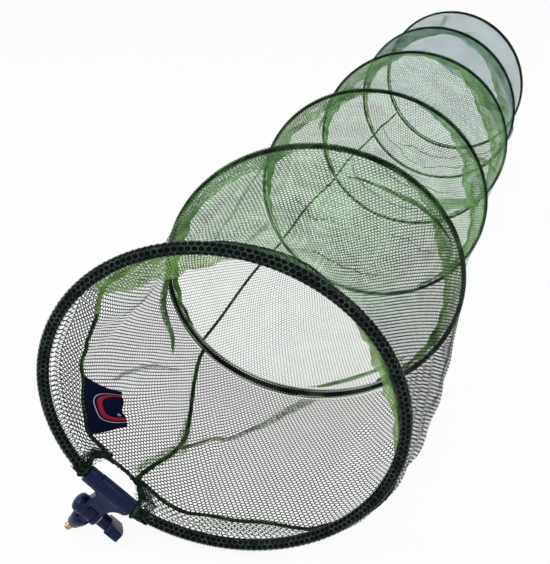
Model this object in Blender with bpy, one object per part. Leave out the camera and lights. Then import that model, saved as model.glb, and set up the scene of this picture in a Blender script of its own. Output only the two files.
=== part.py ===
"""Keep net: six hoops in a knitted bag, with a tilting bank-stick block on the mouth hoop.

Metres, +Z up. The net lies pulled out on the floor along +Y, its mouth at the -Y end. The
origin is the middle of the underside of the whole object.
"""
import math

import bmesh
import bpy
import numpy as np
from mathutils import Matrix, Vector

MM = 0.001

# Clearances and cutting
SEAT_GAP = 0.3 * MM            # between two pieces that touch
BORE_GAP = 0.35 * MM           # round a rod in its bore, on the radius
OVERRUN = 3 * MM               # how far a cutter runs past what it cuts
WELD = 0.001 * MM              # points closer than this are one point

# Hoops, given at the centre line of the rod
HOOP_RADIUS = 200 * MM
SECOND_MORE = 5 * MM           # the second hoop is this much larger in radius
MOUTH_LESS = 7.5 * MM          # and the mouth hoop this much smaller
SECOND_RADIUS = HOOP_RADIUS + SECOND_MORE
MOUTH_RADIUS = HOOP_RADIUS - MOUTH_LESS
MOUTH_ROD = 6.25 * MM          # radius of the thick mouth rod
HOOP_ROD = 2.5 * MM            # radius of the thin rods
MOUTH_RISE = 15 * MM           # the block props the mouth hoop off the floor
MOUTH_ASIDE = 3.4 * MM         # how far it lies to the right of the other hoops
MOUTH_END_GAP = 2 * MM         # between the rod's two ends, inside the block
BAY_LENGTHS = (354 * MM, 375 * MM, 398 * MM, 367 * MM, 296 * MM)
HOOP_TURNS_DEG = (9.0, 12.1, 2.2, 1.8, -9.5, -11.6)
HOOP_LEANS_DEG = (5.1, 8.5, 7.4, 8.2, 8.7, 8.0)
HOOP_SIDES = 30
MOUTH_SIDES = 45
ROD_SIDES = 6
MOUTH_ROD_SIDES = 8

# Netting
CLOTH = 0.8 * MM               # thickness of one layer of netting
HEM_DEPTH = 48 * MM            # from the mouth rod back to the stitched line
HEM_FOLD_SHARE = 0.4           # where the hem's layers meet the netting round the rod
GUSSET_SLIT = 14 * MM          # opening between the sleeve and the netting behind it
GUSSET_INSET = 0.2 * MM        # how far the strip behind the sleeve sinks into the hem
GUSSET_LAP_DEG = 0.75          # how far it runs into the hem at each end
GUSSET_STEPS = 6
POCKET_HALF = 9 * MM           # half the width of a hoop's pocket
POCKET_FLAT = 2.2 * MM         # half the flat over the rod
POCKET_SLIT = 0.3 * MM         # between the two layers at the open edge
NET_STRAND = 2.4 * MM          # across one strand of the coarse net that stands for the mesh
NET_ROWS = 6                   # meshes along a bay, each two facets wide
NET_ZIGZAG = 0.16              # how far a mesh's corners step to and fro, in rows
TOP_SAG = 34 * MM              # how far the netting sinks between two hoops
SIDE_DRAW = 14 * MM            # how far it draws in at the sides
RIGHT_DRAWS = (0, 26 * MM, 34 * MM, 34 * MM, 24 * MM)   # and on the right besides, by bay
LOW_BULGE = 13 * MM            # how far it spreads low down
MOUTH_SLACK = 24 * MM          # how far it falls outside the mouth rod, low down
STITCH_DRAWS = ((22 * MM, 172.0, 42.0),   # how far the stitched line is drawn in, in what
                (26 * MM, 10.0, 70.0))    # direction, and over how much to either side of it
STITCH_FADE = 90 * MM          # over what length behind the line the netting recovers
SEAM_WIDTH = 9 * MM
SEAM_CLOTH = 0.7 * MM
SEWN_GAP = 0.6 * MM            # between what is sewn on and the netting, which twists
SEAM_PATHS_DEG = (             # shares of each bay and the directions of its seam there
    ((0, 228.0), (0.3, 232.0), (0.43, 236.0), (0.62, 232.0), (1, 216.5)),
    ((0, 216.0), (1, 212.0)),
    ((0, 212.0), (1, 210.5)),
    ((0, 210.5), (1, 211.0)),
    ((0, 211.0), (1, 213.0)))

# Closing net at the far end
BASE_CELL = 39 * MM            # across the flats of one mesh
BASE_RIM = 1.5 * MM            # how far its rim stands inside the hoop's centre line
BASE_SLIVER_SHARE = 0.45       # a cut mesh smaller than this joins its neighbour

# Block: X along the sleeve, Y out of the mouth, Z away from the hoop's centre
BLOCK_ANGLE_DEG = 44.0         # below the horizontal, on the left
SLEEVE_LENGTH = 68 * MM
SLEEVE_RADIUS = 10.8 * MM
SLEEVE_SIDES = 14
SLEEVE_BEVEL = 0.8 * MM
COLLAR_LENGTH = 16.5 * MM
COLLAR_RADIUS = 10.3 * MM
COLLAR_LIP = 1.2 * MM
NECK_CENTRE = 6 * MM           # from the middle of the sleeve
FORK_WIDTH = 26 * MM
FORK_SLOT = 14 * MM
CHEEK_RADIUS = 12.5 * MM
WEB_THICKNESS = 15 * MM
WEB_BEVEL = 1.8 * MM
WEB_FILLET = 4 * MM
WEB_SHOULDER = 28 * MM         # height at which the right side starts to flare
PIVOT_RISE = 44 * MM
PIVOT_ROD = 3 * MM             # radius of the pivot bolt
BOLT_HEAD = 5.4 * MM           # corner radius of the hexagon head
BOLT_HEAD_LENGTH = 4 * MM
FRICTION_THICKNESS = 1 * MM
FRICTION_RADIUS = 11 * MM
CAP_RADIUS = 11.8 * MM
CAP_WALL = 3 * MM              # straight part of the domed cap
CAP_LENGTH = 9.5 * MM
CAP_RIB_DEPTH = 0.5 * MM
CAP_RIBS = 16

# Tilting foot and its threaded stud
TONGUE_RADIUS = 12 * MM
STEM_SHARE = 0.8               # half width of the stem between tongue and boss
FOOT_CLEARANCE = 0.8 * MM      # between the turning boss and the cheeks
BOSS_RADIUS = 11.5 * MM
BOSS_LENGTH = 21 * MM
BOSS_NOSE = 7 * MM             # radius of the flat end of the boss
BOSS_STRAIGHT = 6 * MM
BOSS_CHAMFER = 1.2 * MM
STUD_RADIUS = 4.76 * MM
STUD_REACH = 12 * MM           # how far the stud stands out
STUD_DEPTH = 12 * MM           # how deep it sits in the boss
STUD_CHAMFER = 0.9 * MM

# Locking knob
WASHER_THICKNESS = 1.2 * MM
WASHER_RADIUS = 8.7 * MM
KNOB_NECK_RADIUS = 8.6 * MM
KNOB_NECK_LENGTH = 11.5 * MM
KNOB_WING_SPAN = 32 * MM
KNOB_WING_DEPTH = 21.5 * MM    # along the pivot
KNOB_WING_THICKNESS = 12 * MM
KNOB_CROWN = 2.6 * MM          # how far the outer face swells
KNOB_BEVEL = 1.3 * MM
KNOB_TURN_DEG = 62.0
KNOB_THREAD_SHARE = 0.55       # how far the bolt reaches into the knob

# Label sewn into the stitched line
TAG_WIDTH = 86 * MM
TAG_LENGTH = 42 * MM
TAG_THICKNESS = 0.9 * MM
TAG_ANGLE_DEG = 194.0
TAG_DROOP_DEG = 9.0            # how far its free end hangs down
TAG_LIFT = 26 * MM             # how far its free end stands off the netting
TAG_CURL = 1.5                 # how suddenly it bends away from the netting
TAG_ROWS = 6
TAG_COLUMNS = 4

COLOURS = {
    "black_rod": ((0.02, 0.022, 0.024), 0.35, 0.0),
    "green_netting": ((0.13, 0.24, 0.12), 0.75, 0.0),
    "pale_netting": ((0.45, 0.55, 0.52), 0.75, 0.0),
    "navy_plastic": ((0.018, 0.03, 0.10), 0.42, 0.0),
    "brass": ((0.62, 0.46, 0.22), 0.3, 1.0),
    "steel": ((0.55, 0.56, 0.58), 0.3, 1.0),
    "rubber": ((0.03, 0.03, 0.03), 0.8, 0.0),
    "navy_cloth": ((0.02, 0.03, 0.09), 0.8, 0.0),
}


# Helpers

def clear_scene():
    for item in list(bpy.data.objects):
        bpy.data.objects.remove(item, do_unlink=True)


def material(name):
    found = bpy.data.materials.get(name)
    if found:
        return found
    colour, roughness, metallic = COLOURS[name]
    made = bpy.data.materials.new(name)
    made.use_nodes = True
    shader = made.node_tree.nodes["Principled BSDF"]
    shader.inputs["Base Color"].default_value = (*colour, 1.0)
    shader.inputs["Roughness"].default_value = roughness
    shader.inputs["Metallic"].default_value = metallic
    return made


def empty(name, parent, matrix):
    made = bpy.data.objects.new(name, None)
    bpy.context.collection.objects.link(made)
    made.parent = parent
    made.matrix_local = matrix
    return made


def mesh_object(name, bm, parent, finish):
    mesh = bpy.data.meshes.new(name)
    bm.to_mesh(mesh)
    bm.free()
    mesh.shade_smooth()
    mesh.set_sharp_from_angle(angle=math.radians(35))
    made = bpy.data.objects.new(name, mesh)
    bpy.context.collection.objects.link(made)
    made.parent = parent
    made.data.materials.append(material(finish))
    return made


def skinned(name, loops, parent, finish, closed):
    """A solid skinned over a row of point loops. An open row gets a cap at each end.

    Each quad is split from its smaller to its larger Y, so that thin layers stay parallel.
    """
    bm = bmesh.new()
    rows = [[bm.verts.new(point) for point in loop] for loop in loops]
    count = len(rows[0])
    pairs = list(zip(rows, rows[1:]))
    if closed:
        pairs.append((rows[-1], rows[0]))
    for near, far in pairs:
        for i in range(count):
            j = (i + 1) % count
            if near[i].co.y <= near[j].co.y:
                bm.faces.new((near[i], near[j], far[j]))
                bm.faces.new((near[i], far[j], far[i]))
            else:
                bm.faces.new((near[i], near[j], far[i]))
                bm.faces.new((near[j], far[j], far[i]))
    if not closed:
        bm.faces.new(rows[0])
        bm.faces.new(rows[-1])
    bmesh.ops.remove_doubles(bm, verts=bm.verts, dist=WELD)
    bmesh.ops.recalc_face_normals(bm, faces=bm.faces)
    return mesh_object(name, bm, parent, finish)


def turned(name, profile, sides, parent, finish, axis="X"):
    """A solid of revolution. The profile is a closed outline of (along, radius) points."""
    loops = []
    for i in range(sides):
        angle = 2 * math.pi * i / sides
        c, s = math.cos(angle), math.sin(angle)
        if axis == "X":
            loops.append([Vector((a, r * c, r * s)) for a, r in profile])
        else:
            loops.append([Vector((r * c, r * s, a)) for a, r in profile])
    return skinned(name, loops, parent, finish, closed=True)


def rod(radius, start, end):
    return [(start, 0), (start, radius), (end, radius), (end, 0)]


def extruded(name, outline, low, high, parent, finish, axis="Y"):
    """A prism along X or Y. The outline lists (y, z) or (x, z) points."""
    if axis == "X":
        loops = [[Vector((level, a, b)) for a, b in outline] for level in (low, high)]
    else:
        loops = [[Vector((a, level, b)) for a, b in outline] for level in (low, high)]
    return skinned(name, loops, parent, finish, closed=False)


def combine(target, tool, operation):
    """Cut the tool out of the target, or join it on. The tool itself is not part of the object."""
    step = target.modifiers.new(operation.lower(), "BOOLEAN")
    step.operation = operation
    step.solver = "EXACT"
    step.object = tool
    tool.hide_render = True
    tool.display_type = "WIRE"


def bevel(target, width, angle_deg=40):
    step = target.modifiers.new("edges", "BEVEL")
    step.width = width
    step.segments = 1
    step.limit_method = "ANGLE"
    step.angle_limit = math.radians(angle_deg)


# Hoops and the frames that they stand in

def hoop_radius(index):
    return (MOUTH_RADIUS, SECOND_RADIUS)[index] if index < 2 else HOOP_RADIUS


def pocket_height():
    return HOOP_ROD + BORE_GAP + CLOTH


def hoop_matrix(index):
    """Where a hoop's centre stands: X to the right, Y into the net, Z up the hoop."""
    turn = math.radians(HOOP_TURNS_DEG[index])
    lean = math.radians(HOOP_LEANS_DEG[index])
    rotation = Matrix.Rotation(turn, 4, "Z") @ Matrix.Rotation(lean, 4, "X")
    radius = hoop_radius(index)
    if index == 0:
        low = Vector((MOUTH_ASIDE, 0, MOUTH_RISE))
        centre = low + rotation @ Vector((0, 0, radius))
    else:
        centre = rotation @ Vector((0, 0, radius))
        centre.y += sum(BAY_LENGTHS[:index])
        facet = (radius + pocket_height()) * math.cos(math.pi / HOOP_SIDES)
        centre.z = facet * math.cos(lean) - POCKET_FLAT * math.sin(lean)
    return Matrix.Translation(centre) @ rotation


def around(sides):
    """Angles round a hoop, with one flat side at the very bottom."""
    step = 2 * math.pi / sides
    return [-math.pi / 2 + (i + 0.5) * step for i in range(sides)]


def on_hoop(radius, angle, axial, radial):
    reach = radius + radial
    return Vector((reach * math.cos(angle), axial, reach * math.sin(angle)))


def ring(name, radius, profile, sides, parent, finish):
    loops = [[on_hoop(radius, angle, a, r) for a, r in profile] for angle in around(sides)]
    return skinned(name, loops, parent, finish, closed=True)


def rod_profile(radius, sides):
    return [(radius * math.cos(2 * math.pi * (i + 0.5) / sides),
             radius * math.sin(2 * math.pi * (i + 0.5) / sides)) for i in range(sides)]


def block_direction():
    """Angle round the mouth hoop at which the block sits."""
    return math.pi + math.radians(BLOCK_ANGLE_DEG)


def sleeve_angle():
    """Half of the angle that the sleeve takes out of the mouth hoop."""
    return math.asin((SLEEVE_LENGTH / 2 + MOUTH_END_GAP) / MOUTH_RADIUS)


def mouth_angles():
    """Angles of the mouth rod's sections, once round from one end of the sleeve to the other."""
    start = block_direction() + sleeve_angle()
    end = block_direction() - sleeve_angle() + 2 * math.pi
    flat = 2 * math.pi / MOUTH_SIDES
    low = -math.pi / 2 + 2 * math.pi
    before = max(1, round((low - flat / 2 - start) / flat))
    after = max(1, round((end - low - flat / 2) / flat))
    first = [start + (low - flat / 2 - start) * i / before for i in range(before + 1)]
    last = [low + flat / 2 + (end - low - flat / 2) * i / after for i in range(after + 1)]
    return first + last


def make_mouth_hoop(parent):
    """The thick rod: one open ring whose ends meet inside the straight sleeve."""
    profile = rod_profile(MOUTH_ROD, MOUTH_ROD_SIDES)
    loops = []
    direction = block_direction()
    outward = Vector((math.cos(direction), 0, math.sin(direction)))
    along = Vector((-math.sin(direction), 0, math.cos(direction)))
    middle = outward * (MOUTH_RADIUS * math.cos(sleeve_angle()))

    def end_loop(offset):
        return [middle + along * offset + outward * r + Vector((0, a, 0)) for a, r in profile]

    loops.append(end_loop(MOUTH_END_GAP / 2))
    for angle in mouth_angles():
        loops.append([on_hoop(MOUTH_RADIUS, angle, a, r) for a, r in profile])
    loops.append(end_loop(-MOUTH_END_GAP / 2))
    skinned("mouth_hoop", loops, parent, "black_rod", closed=False)


def pocket_profile():
    """A hoop's pocket: two layers of netting, folded at the front and open at the back."""
    outer = pocket_height()
    inner = outer - CLOTH
    half_slit = POCKET_SLIT / 2
    fold = POCKET_HALF - 2 * CLOTH
    return [(-POCKET_HALF, 0), (-POCKET_FLAT, outer), (POCKET_FLAT, outer),
            (POCKET_HALF, half_slit + CLOTH), (POCKET_HALF, half_slit), (0, inner), (-fold, 0),
            (0, -inner), (POCKET_HALF, -half_slit), (POCKET_HALF, -half_slit - CLOTH),
            (0, -outer)]


def settle_on_floor(item, matrix):
    """Press the points that would reach below the floor flat onto it."""
    for vertex in item.data.vertices:
        world = matrix @ vertex.co
        if world.z < WELD:
            world.z = 0
            vertex.co = matrix.inverted() @ world


def make_hoops(frames, matrices):
    for index in range(1, len(matrices)):
        radius = hoop_radius(index)
        profile = rod_profile(HOOP_ROD, ROD_SIDES)
        ring(f"hoop_{index + 1}", radius, profile, HOOP_SIDES, frames[index], "black_rod")
        hem = ring(f"hem_{index + 1}", radius, pocket_profile(), HOOP_SIDES, frames[index],
                   "green_netting")
        settle_on_floor(hem, matrices[index])


# Netting between the hoops

def wall_ends(bay, angle, matrices):
    """Where the netting of a bay starts and ends at one angle, clear of the hoops' wrapping."""
    start_out = wrap_radius() if bay == 0 else POCKET_HALF + SEAT_GAP
    end_out = POCKET_HALF + SEAT_GAP
    start = matrices[bay] @ on_hoop(hoop_radius(bay), angle, start_out, POCKET_SLIT / 2 + CLOTH)
    end = matrices[bay + 1] @ on_hoop(hoop_radius(bay + 1), angle, -end_out,
                                      POCKET_SLIT / 2 + CLOTH)
    return start, end


def wrap_radius():
    """Outer radius of the netting wound over the mouth rod."""
    return MOUTH_ROD + BORE_GAP + CLOTH


def stitch_draw(angle, share):
    """How far the stitched line draws the first bay's netting in."""
    back = share * BAY_LENGTHS[0]
    fade = min(back / HEM_DEPTH, max(0, 1 - (back - HEM_DEPTH) / STITCH_FADE))
    total = 0
    for draw, direction, reach in STITCH_DRAWS:
        away = abs((math.degrees(angle) - direction + 180) % 360 - 180)
        total += draw * (1 + math.cos(math.pi * min(1, away / reach))) / 2
    return total * fade


def wall_point(bay, angle, share, depth, matrices):
    """A point of the netting, at a share of the way along its bay and a depth below its face."""
    start, end = wall_ends(bay, angle, matrices)
    middle = matrices[bay].translation.lerp(matrices[bay + 1].translation, share)
    point = start.lerp(end, share)
    outward = point - middle
    slack = math.sin(math.pi * share)
    rise, side = math.sin(angle), abs(math.cos(angle))
    draw = SIDE_DRAW * side + RIGHT_DRAWS[bay] * max(0, math.cos(angle))
    pull = TOP_SAG * max(0, rise) + draw * (1 + rise) / 2
    spread = LOW_BULGE * 2 * side * max(0, -rise)
    if bay == 0:
        fall = min(1, share * BAY_LENGTHS[0] / HEM_DEPTH) * (1 - share)
        outward = outward.normalized() * (outward.length
                                          + MOUTH_SLACK * fall * ((1 - rise) / 2) ** 2
                                          - stitch_draw(angle, share))
    reach = outward.length + slack * (spread - pull) - depth
    point = middle + outward.normalized() * reach
    point.z = max(point.z, SEAT_GAP + depth)
    return point


def facet_point(bay, angle, share, depth, matrices):
    """The same point on the panel as it is built, flat between its facet edges."""
    step = 2 * math.pi / HOOP_SIDES
    place = (angle + math.pi / 2) / step - 0.5
    edge = math.floor(place)
    near, far = (wall_point(bay, (edge + 0.5 + i) * step - math.pi / 2, share, depth, matrices)
                 for i in (0, 1))
    return near.lerp(far, place - edge)


def make_mouth_hem(parent, matrices):
    """Netting folded over the mouth rod and sewn to itself, open where the block sits."""
    shares = (HEM_DEPTH / BAY_LENGTHS[0], HEM_FOLD_SHARE * HEM_DEPTH / BAY_LENGTHS[0])
    wrap = wrap_radius()
    bend = [math.radians(angle) for angle in (67.5, 112.5, 157.5, 202.5, 247.5, 292.5)]
    half_slit = POCKET_SLIT / 2
    to_hoop = matrices[0].inverted()
    loops = []
    for angle in mouth_angles():
        def flap(share, depth):
            return to_hoop @ wall_point(0, angle, share, depth, matrices)

        def wound(radius):
            return [on_hoop(MOUTH_RADIUS, angle, radius * math.cos(b), radius * math.sin(b))
                    for b in bend]

        folded = [flap(share, depth) for depth, order in (
            (0, shares), (2 * CLOTH + 2 * half_slit, reversed(shares))) for share in order]
        inside = [flap(share, depth) for depth, order in (
            (CLOTH + 2 * half_slit, shares), (CLOTH, reversed(shares))) for share in order]
        outer = folded[:2] + wound(wrap) + folded[2:]
        inner = inside[:2] + list(reversed(wound(wrap - CLOTH))) + inside[2:]
        loops.append(outer + inner)
    hem = skinned("mouth_hem", loops, parent, "green_netting", closed=False)
    combine(hem, make_gusset(parent, matrices), "UNION")
    for vertex in hem.data.vertices:
        world = matrices[0] @ vertex.co
        if world.z < SEAT_GAP + WELD:
            world.z = 0
            vertex.co = to_hoop @ world


def make_gusset(parent, matrices):
    """The hem where it passes behind the block, joined to it on both sides."""
    front = (SLEEVE_RADIUS + GUSSET_SLIT) / BAY_LENGTHS[0]
    back = (HEM_DEPTH - GUSSET_INSET) / BAY_LENGTHS[0]
    inside = 2 * CLOTH + POCKET_SLIT - GUSSET_INSET
    half = sleeve_angle() + math.radians(GUSSET_LAP_DEG)
    to_hoop = matrices[0].inverted()
    loops = []
    for step in range(GUSSET_STEPS + 1):
        angle = block_direction() + half * (2 * step / GUSSET_STEPS - 1)
        loops.append([to_hoop @ wall_point(0, angle, share, depth, matrices)
                      for share, depth in ((front, GUSSET_INSET), (back, GUSSET_INSET),
                                           (back, inside), (front, inside))])
    return skinned("gusset", loops, parent, "green_netting", closed=False)


def strands(item):
    """Turn every edge of a surface into a strand of the coarse net."""
    wire = item.modifiers.new("strands", "WIREFRAME")
    wire.thickness = NET_STRAND
    wire.use_even_offset = True
    wire.use_boundary = True
    wire.use_replace = True
    wire.offset = 0


def panel_shares(bay):
    """Where the rows of a bay's net lie, clear of the hoops' wrapping at both ends."""
    inset = NET_STRAND / 2 / BAY_LENGTHS[bay]
    first = (HEM_DEPTH + SEAT_GAP) / BAY_LENGTHS[0] + inset if bay == 0 else inset
    return [first + (1 - inset - first) * row / NET_ROWS for row in range(NET_ROWS + 1)]


def make_panels(net, matrices):
    """The net of each bay: staggered meshes, with a strand all round at both ends."""
    angles = around(HOOP_SIDES)
    for bay in range(len(BAY_LENGTHS)):
        shares = panel_shares(bay)
        step = NET_ZIGZAG * (shares[1] - shares[0])
        bm = bmesh.new()
        rows = []
        for row, share in enumerate(shares):
            at_end = row in (0, NET_ROWS)
            rows.append([bm.verts.new(wall_point(
                bay, angle, share if at_end else share + step * (-1) ** (row + i),
                NET_STRAND / 2, matrices)) for i, angle in enumerate(angles)])
        for row in range(NET_ROWS):
            for i in range(row % 2, HOOP_SIDES + row % 2, 2):
                near, far = ([rows[level][(i + j) % HOOP_SIDES] for j in range(3)]
                             for level in (row, row + 1))
                bm.faces.new(near + far[::-1])
        bmesh.ops.recalc_face_normals(bm, faces=bm.faces)
        finish = "green_netting" if bay < 3 else "pale_netting"
        strands(mesh_object(f"net_panel_{bay + 1}", bm, net, finish))
        make_seam(bay, shares, net, matrices)


def make_seam(bay, shares, net, matrices):
    """The tape inside each bay that closes the tube of netting."""
    half = SEAM_WIDTH / 2 / HOOP_RADIUS
    top = NET_STRAND + SEWN_GAP
    loops = []
    for share in shares:
        middle = math.radians(np.interp(share, *zip(*SEAM_PATHS_DEG[bay])))
        loops.append([facet_point(bay, middle + side * half, share, depth, matrices)
                      for side, depth in ((-1, top), (1, top), (1, top + SEAM_CLOTH),
                                          (-1, top + SEAM_CLOTH))])
    skinned(f"seam_{bay + 1}", loops, net, "green_netting", closed=False)


def make_tag(net, matrices):
    """The cloth label: sewn in at the stitched line, its free end standing off the netting."""
    start = (HEM_DEPTH + SEAT_GAP) / BAY_LENGTHS[0]
    half = TAG_WIDTH / 2 / MOUTH_RADIUS
    seat = NET_STRAND + SEWN_GAP + HOOP_RADIUS * (1 - math.cos(math.pi / HOOP_SIDES))
    columns = [half * (2 * column / TAG_COLUMNS - 1) for column in range(TAG_COLUMNS + 1)]
    loops = []
    for row in range(TAG_ROWS):
        way = row / (TAG_ROWS - 1)
        middle = math.radians(TAG_ANGLE_DEG + TAG_DROOP_DEG * way)
        share = start + way * TAG_LENGTH / BAY_LENGTHS[0]
        lift = seat + TAG_LIFT * way ** TAG_CURL
        outer = [wall_point(0, middle + column, share, lift, matrices) for column in columns]
        inner = [wall_point(0, middle + column, share, lift + TAG_THICKNESS, matrices)
                 for column in reversed(columns)]
        loops.append(outer + inner)
    skinned("tag", loops, net, "navy_cloth", closed=False)


def make_base(parent):
    """The flat closing net: hexagonal meshes cut to the hoop, each strand a solid bar."""
    radius = HOOP_RADIUS - BASE_RIM
    flat = radius * math.cos(math.pi / HOOP_SIDES)
    corner = BASE_CELL / math.sqrt(3)
    bm = bmesh.new()
    seen = {}

    def vertex(x, z):
        key = (round(x / WELD / 10), round(z / WELD / 10))
        if key not in seen:
            seen[key] = bm.verts.new((x, 0, z))
        return seen[key]

    reach = int(radius / BASE_CELL) + 2
    for row in range(-reach, reach + 1):
        for column in range(-reach, reach + 1):
            x = (column + 0.5 * (row % 2)) * BASE_CELL
            z = row * corner * 1.5
            if math.hypot(x, z) < radius + corner:
                bm.faces.new([vertex(x + corner * math.cos(math.radians(60 * i + 30)),
                                     z + corner * math.sin(math.radians(60 * i + 30)))
                              for i in range(6)])
    for angle in around(HOOP_SIDES):
        facing = angle + math.pi / HOOP_SIDES
        normal = Vector((math.cos(facing), 0, math.sin(facing)))
        geometry = bm.verts[:] + bm.edges[:] + bm.faces[:]
        bmesh.ops.bisect_plane(bm, geom=geometry, plane_co=normal * flat, plane_no=normal,
                               clear_outer=True)
    bmesh.ops.remove_doubles(bm, verts=bm.verts, dist=NET_STRAND / 2)
    whole = BASE_CELL * BASE_CELL * math.sqrt(3) / 2
    for _ in range(len(bm.faces)):
        slivers = [face for face in bm.faces if face.calc_area() < BASE_SLIVER_SHARE * whole]
        shared = [edge for face in slivers for edge in face.edges if not edge.is_boundary]
        if not shared:
            break
        longest = max(shared, key=lambda edge: edge.calc_length())
        bmesh.ops.dissolve_edges(bm, edges=[longest], use_verts=False)
    bmesh.ops.recalc_face_normals(bm, faces=bm.faces)
    base = mesh_object("net_base", bm, parent, "pale_netting")
    base.location.y = POCKET_HALF + SEAT_GAP + NET_STRAND / 2
    strands(base)


# Block on the mouth hoop

def block_matrix():
    direction = block_direction()
    outward = Vector((math.cos(direction), 0, math.sin(direction)))
    mouthward = Vector((0, -1, 0))
    along = mouthward.cross(outward)
    rotation = Matrix((along, mouthward, outward)).transposed().to_4x4()
    reach = MOUTH_RADIUS * math.cos(sleeve_angle())
    return Matrix.Translation(outward * reach) @ rotation


def arc(centre_x, centre_z, radius_x, radius_z, start_deg, end_deg, steps):
    points = []
    for i in range(steps + 1):
        angle = math.radians(start_deg + (end_deg - start_deg) * i / steps)
        points.append((centre_x + radius_x * math.cos(angle),
                       centre_z + radius_z * math.sin(angle)))
    return points


def make_sleeve(block):
    """Sleeve, neck and the two cheeks of the fork, moulded as one piece."""
    left, right = NECK_CENTRE - FORK_WIDTH / 2, NECK_CENTRE + FORK_WIDTH / 2
    start, end = -SLEEVE_LENGTH / 2 + COLLAR_LENGTH + SEAT_GAP, SLEEVE_LENGTH / 2
    sleeve = turned("block_sleeve", rod(SLEEVE_RADIUS, start, end), SLEEVE_SIDES, block,
                    "navy_plastic")
    bevel(sleeve, SLEEVE_BEVEL, angle_deg=60)

    foot_right = end - SLEEVE_BEVEL
    root = SLEEVE_RADIUS / 2
    outline = [(left - WEB_FILLET, root), (left - WEB_FILLET, SLEEVE_RADIUS)]
    outline += arc(left - WEB_FILLET, SLEEVE_RADIUS + WEB_FILLET, WEB_FILLET, WEB_FILLET,
                   -90, 0, 4)
    outline += [(left, PIVOT_RISE), (right, PIVOT_RISE)]
    outline += arc(foot_right, WEB_SHOULDER, foot_right - right, WEB_SHOULDER - SLEEVE_RADIUS,
                   180, 270, 6)
    outline += [(foot_right, root)]
    web = extruded("web", outline, -WEB_THICKNESS / 2, WEB_THICKNESS / 2, block, "navy_plastic")
    bevel(web, WEB_BEVEL, angle_deg=60)
    combine(sleeve, web, "UNION")

    cheeks = turned("cheeks", rod(CHEEK_RADIUS, left, right), 28, block, "navy_plastic")
    for vertex in cheeks.data.vertices:
        vertex.co.z += PIVOT_RISE
    bevel(cheeks, SLEEVE_BEVEL, angle_deg=60)
    combine(sleeve, cheeks, "UNION")

    slot_left, slot_right = NECK_CENTRE - FORK_SLOT / 2, NECK_CENTRE + FORK_SLOT / 2
    slot_low = PIVOT_RISE - CHEEK_RADIUS - FOOT_CLEARANCE
    slot_high = PIVOT_RISE + CHEEK_RADIUS + OVERRUN
    slot = extruded("slot", [(slot_left, slot_low), (slot_right, slot_low),
                             (slot_right, slot_high), (slot_left, slot_high)],
                    -CHEEK_RADIUS - OVERRUN, CHEEK_RADIUS + OVERRUN, block, "navy_plastic")
    combine(sleeve, slot, "DIFFERENCE")
    bore = turned("hoop_bore", rod(MOUTH_ROD + BORE_GAP, start - OVERRUN, end + OVERRUN), 24,
                  block, "navy_plastic")
    combine(sleeve, bore, "DIFFERENCE")
    pivot_bore = turned("pivot_bore", rod(PIVOT_ROD + BORE_GAP, left - OVERRUN, right + OVERRUN),
                        20, block, "navy_plastic")
    for vertex in pivot_bore.data.vertices:
        vertex.co.z += PIVOT_RISE
    combine(sleeve, pivot_bore, "DIFFERENCE")

    outer_end = -SLEEVE_LENGTH / 2
    inner_end = outer_end + COLLAR_LENGTH
    bore_radius = MOUTH_ROD + BORE_GAP
    collar = [(outer_end, bore_radius), (outer_end, COLLAR_RADIUS - COLLAR_LIP),
              (outer_end + COLLAR_LIP, COLLAR_RADIUS), (inner_end, COLLAR_RADIUS),
              (inner_end, bore_radius)]
    turned("sleeve_collar", collar, 28, block, "navy_plastic")


def make_pivot(pivot):
    """Bolt through the fork, its domed cap on the left and the friction discs in the slot."""
    left = -FORK_WIDTH / 2
    head_face = left - SEAT_GAP
    tip = (FORK_WIDTH / 2 + 2 * SEAT_GAP + WASHER_THICKNESS + KNOB_NECK_LENGTH
           + KNOB_THREAD_SHARE * KNOB_WING_DEPTH)
    bolt = extruded("pivot_bolt", [(BOLT_HEAD * math.cos(math.radians(60 * i)),
                                    BOLT_HEAD * math.sin(math.radians(60 * i)))
                                   for i in range(6)],
                    head_face - BOLT_HEAD_LENGTH, head_face, pivot, "steel", axis="X")
    shank = turned("shank", rod(PIVOT_ROD, head_face - BOLT_HEAD_LENGTH / 2, tip), 16, pivot,
                   "steel")
    combine(bolt, shank, "UNION")

    socket = BOLT_HEAD + BORE_GAP
    socket_end = head_face - BOLT_HEAD_LENGTH - BORE_GAP
    dome = CAP_LENGTH - CAP_WALL
    wall_end = head_face - CAP_WALL
    profile = [(socket_end, 0), (socket_end, socket), (head_face, socket),
               (head_face, CAP_RADIUS), (wall_end, CAP_RADIUS)]
    profile += [(wall_end - dome * math.sin(math.radians(a)),
                 CAP_RADIUS * math.cos(math.radians(a))) for a in (18, 38, 58, 76)]
    profile += [(wall_end - dome, 0)]
    cap = turned("dome_cap", profile, 2 * CAP_RIBS, pivot, "navy_plastic")
    for vertex in cap.data.vertices:
        angle = math.atan2(vertex.co.z, vertex.co.y)
        reach = math.hypot(vertex.co.y, vertex.co.z)
        valley = round(angle / math.pi * CAP_RIBS) % 2
        if valley and reach > CAP_RADIUS - WELD:
            shrink = (reach - CAP_RIB_DEPTH) / reach
            vertex.co.y *= shrink
            vertex.co.z *= shrink

    bore = PIVOT_ROD + BORE_GAP
    for name, start in (("friction_disc_left", -FORK_SLOT / 2 + SEAT_GAP),
                        ("friction_disc_right", FORK_SLOT / 2 - SEAT_GAP - FRICTION_THICKNESS)):
        end = start + FRICTION_THICKNESS
        turned(name, [(start, bore), (start, FRICTION_RADIUS), (end, FRICTION_RADIUS),
                      (end, bore)], 24, pivot, "rubber")


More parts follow.
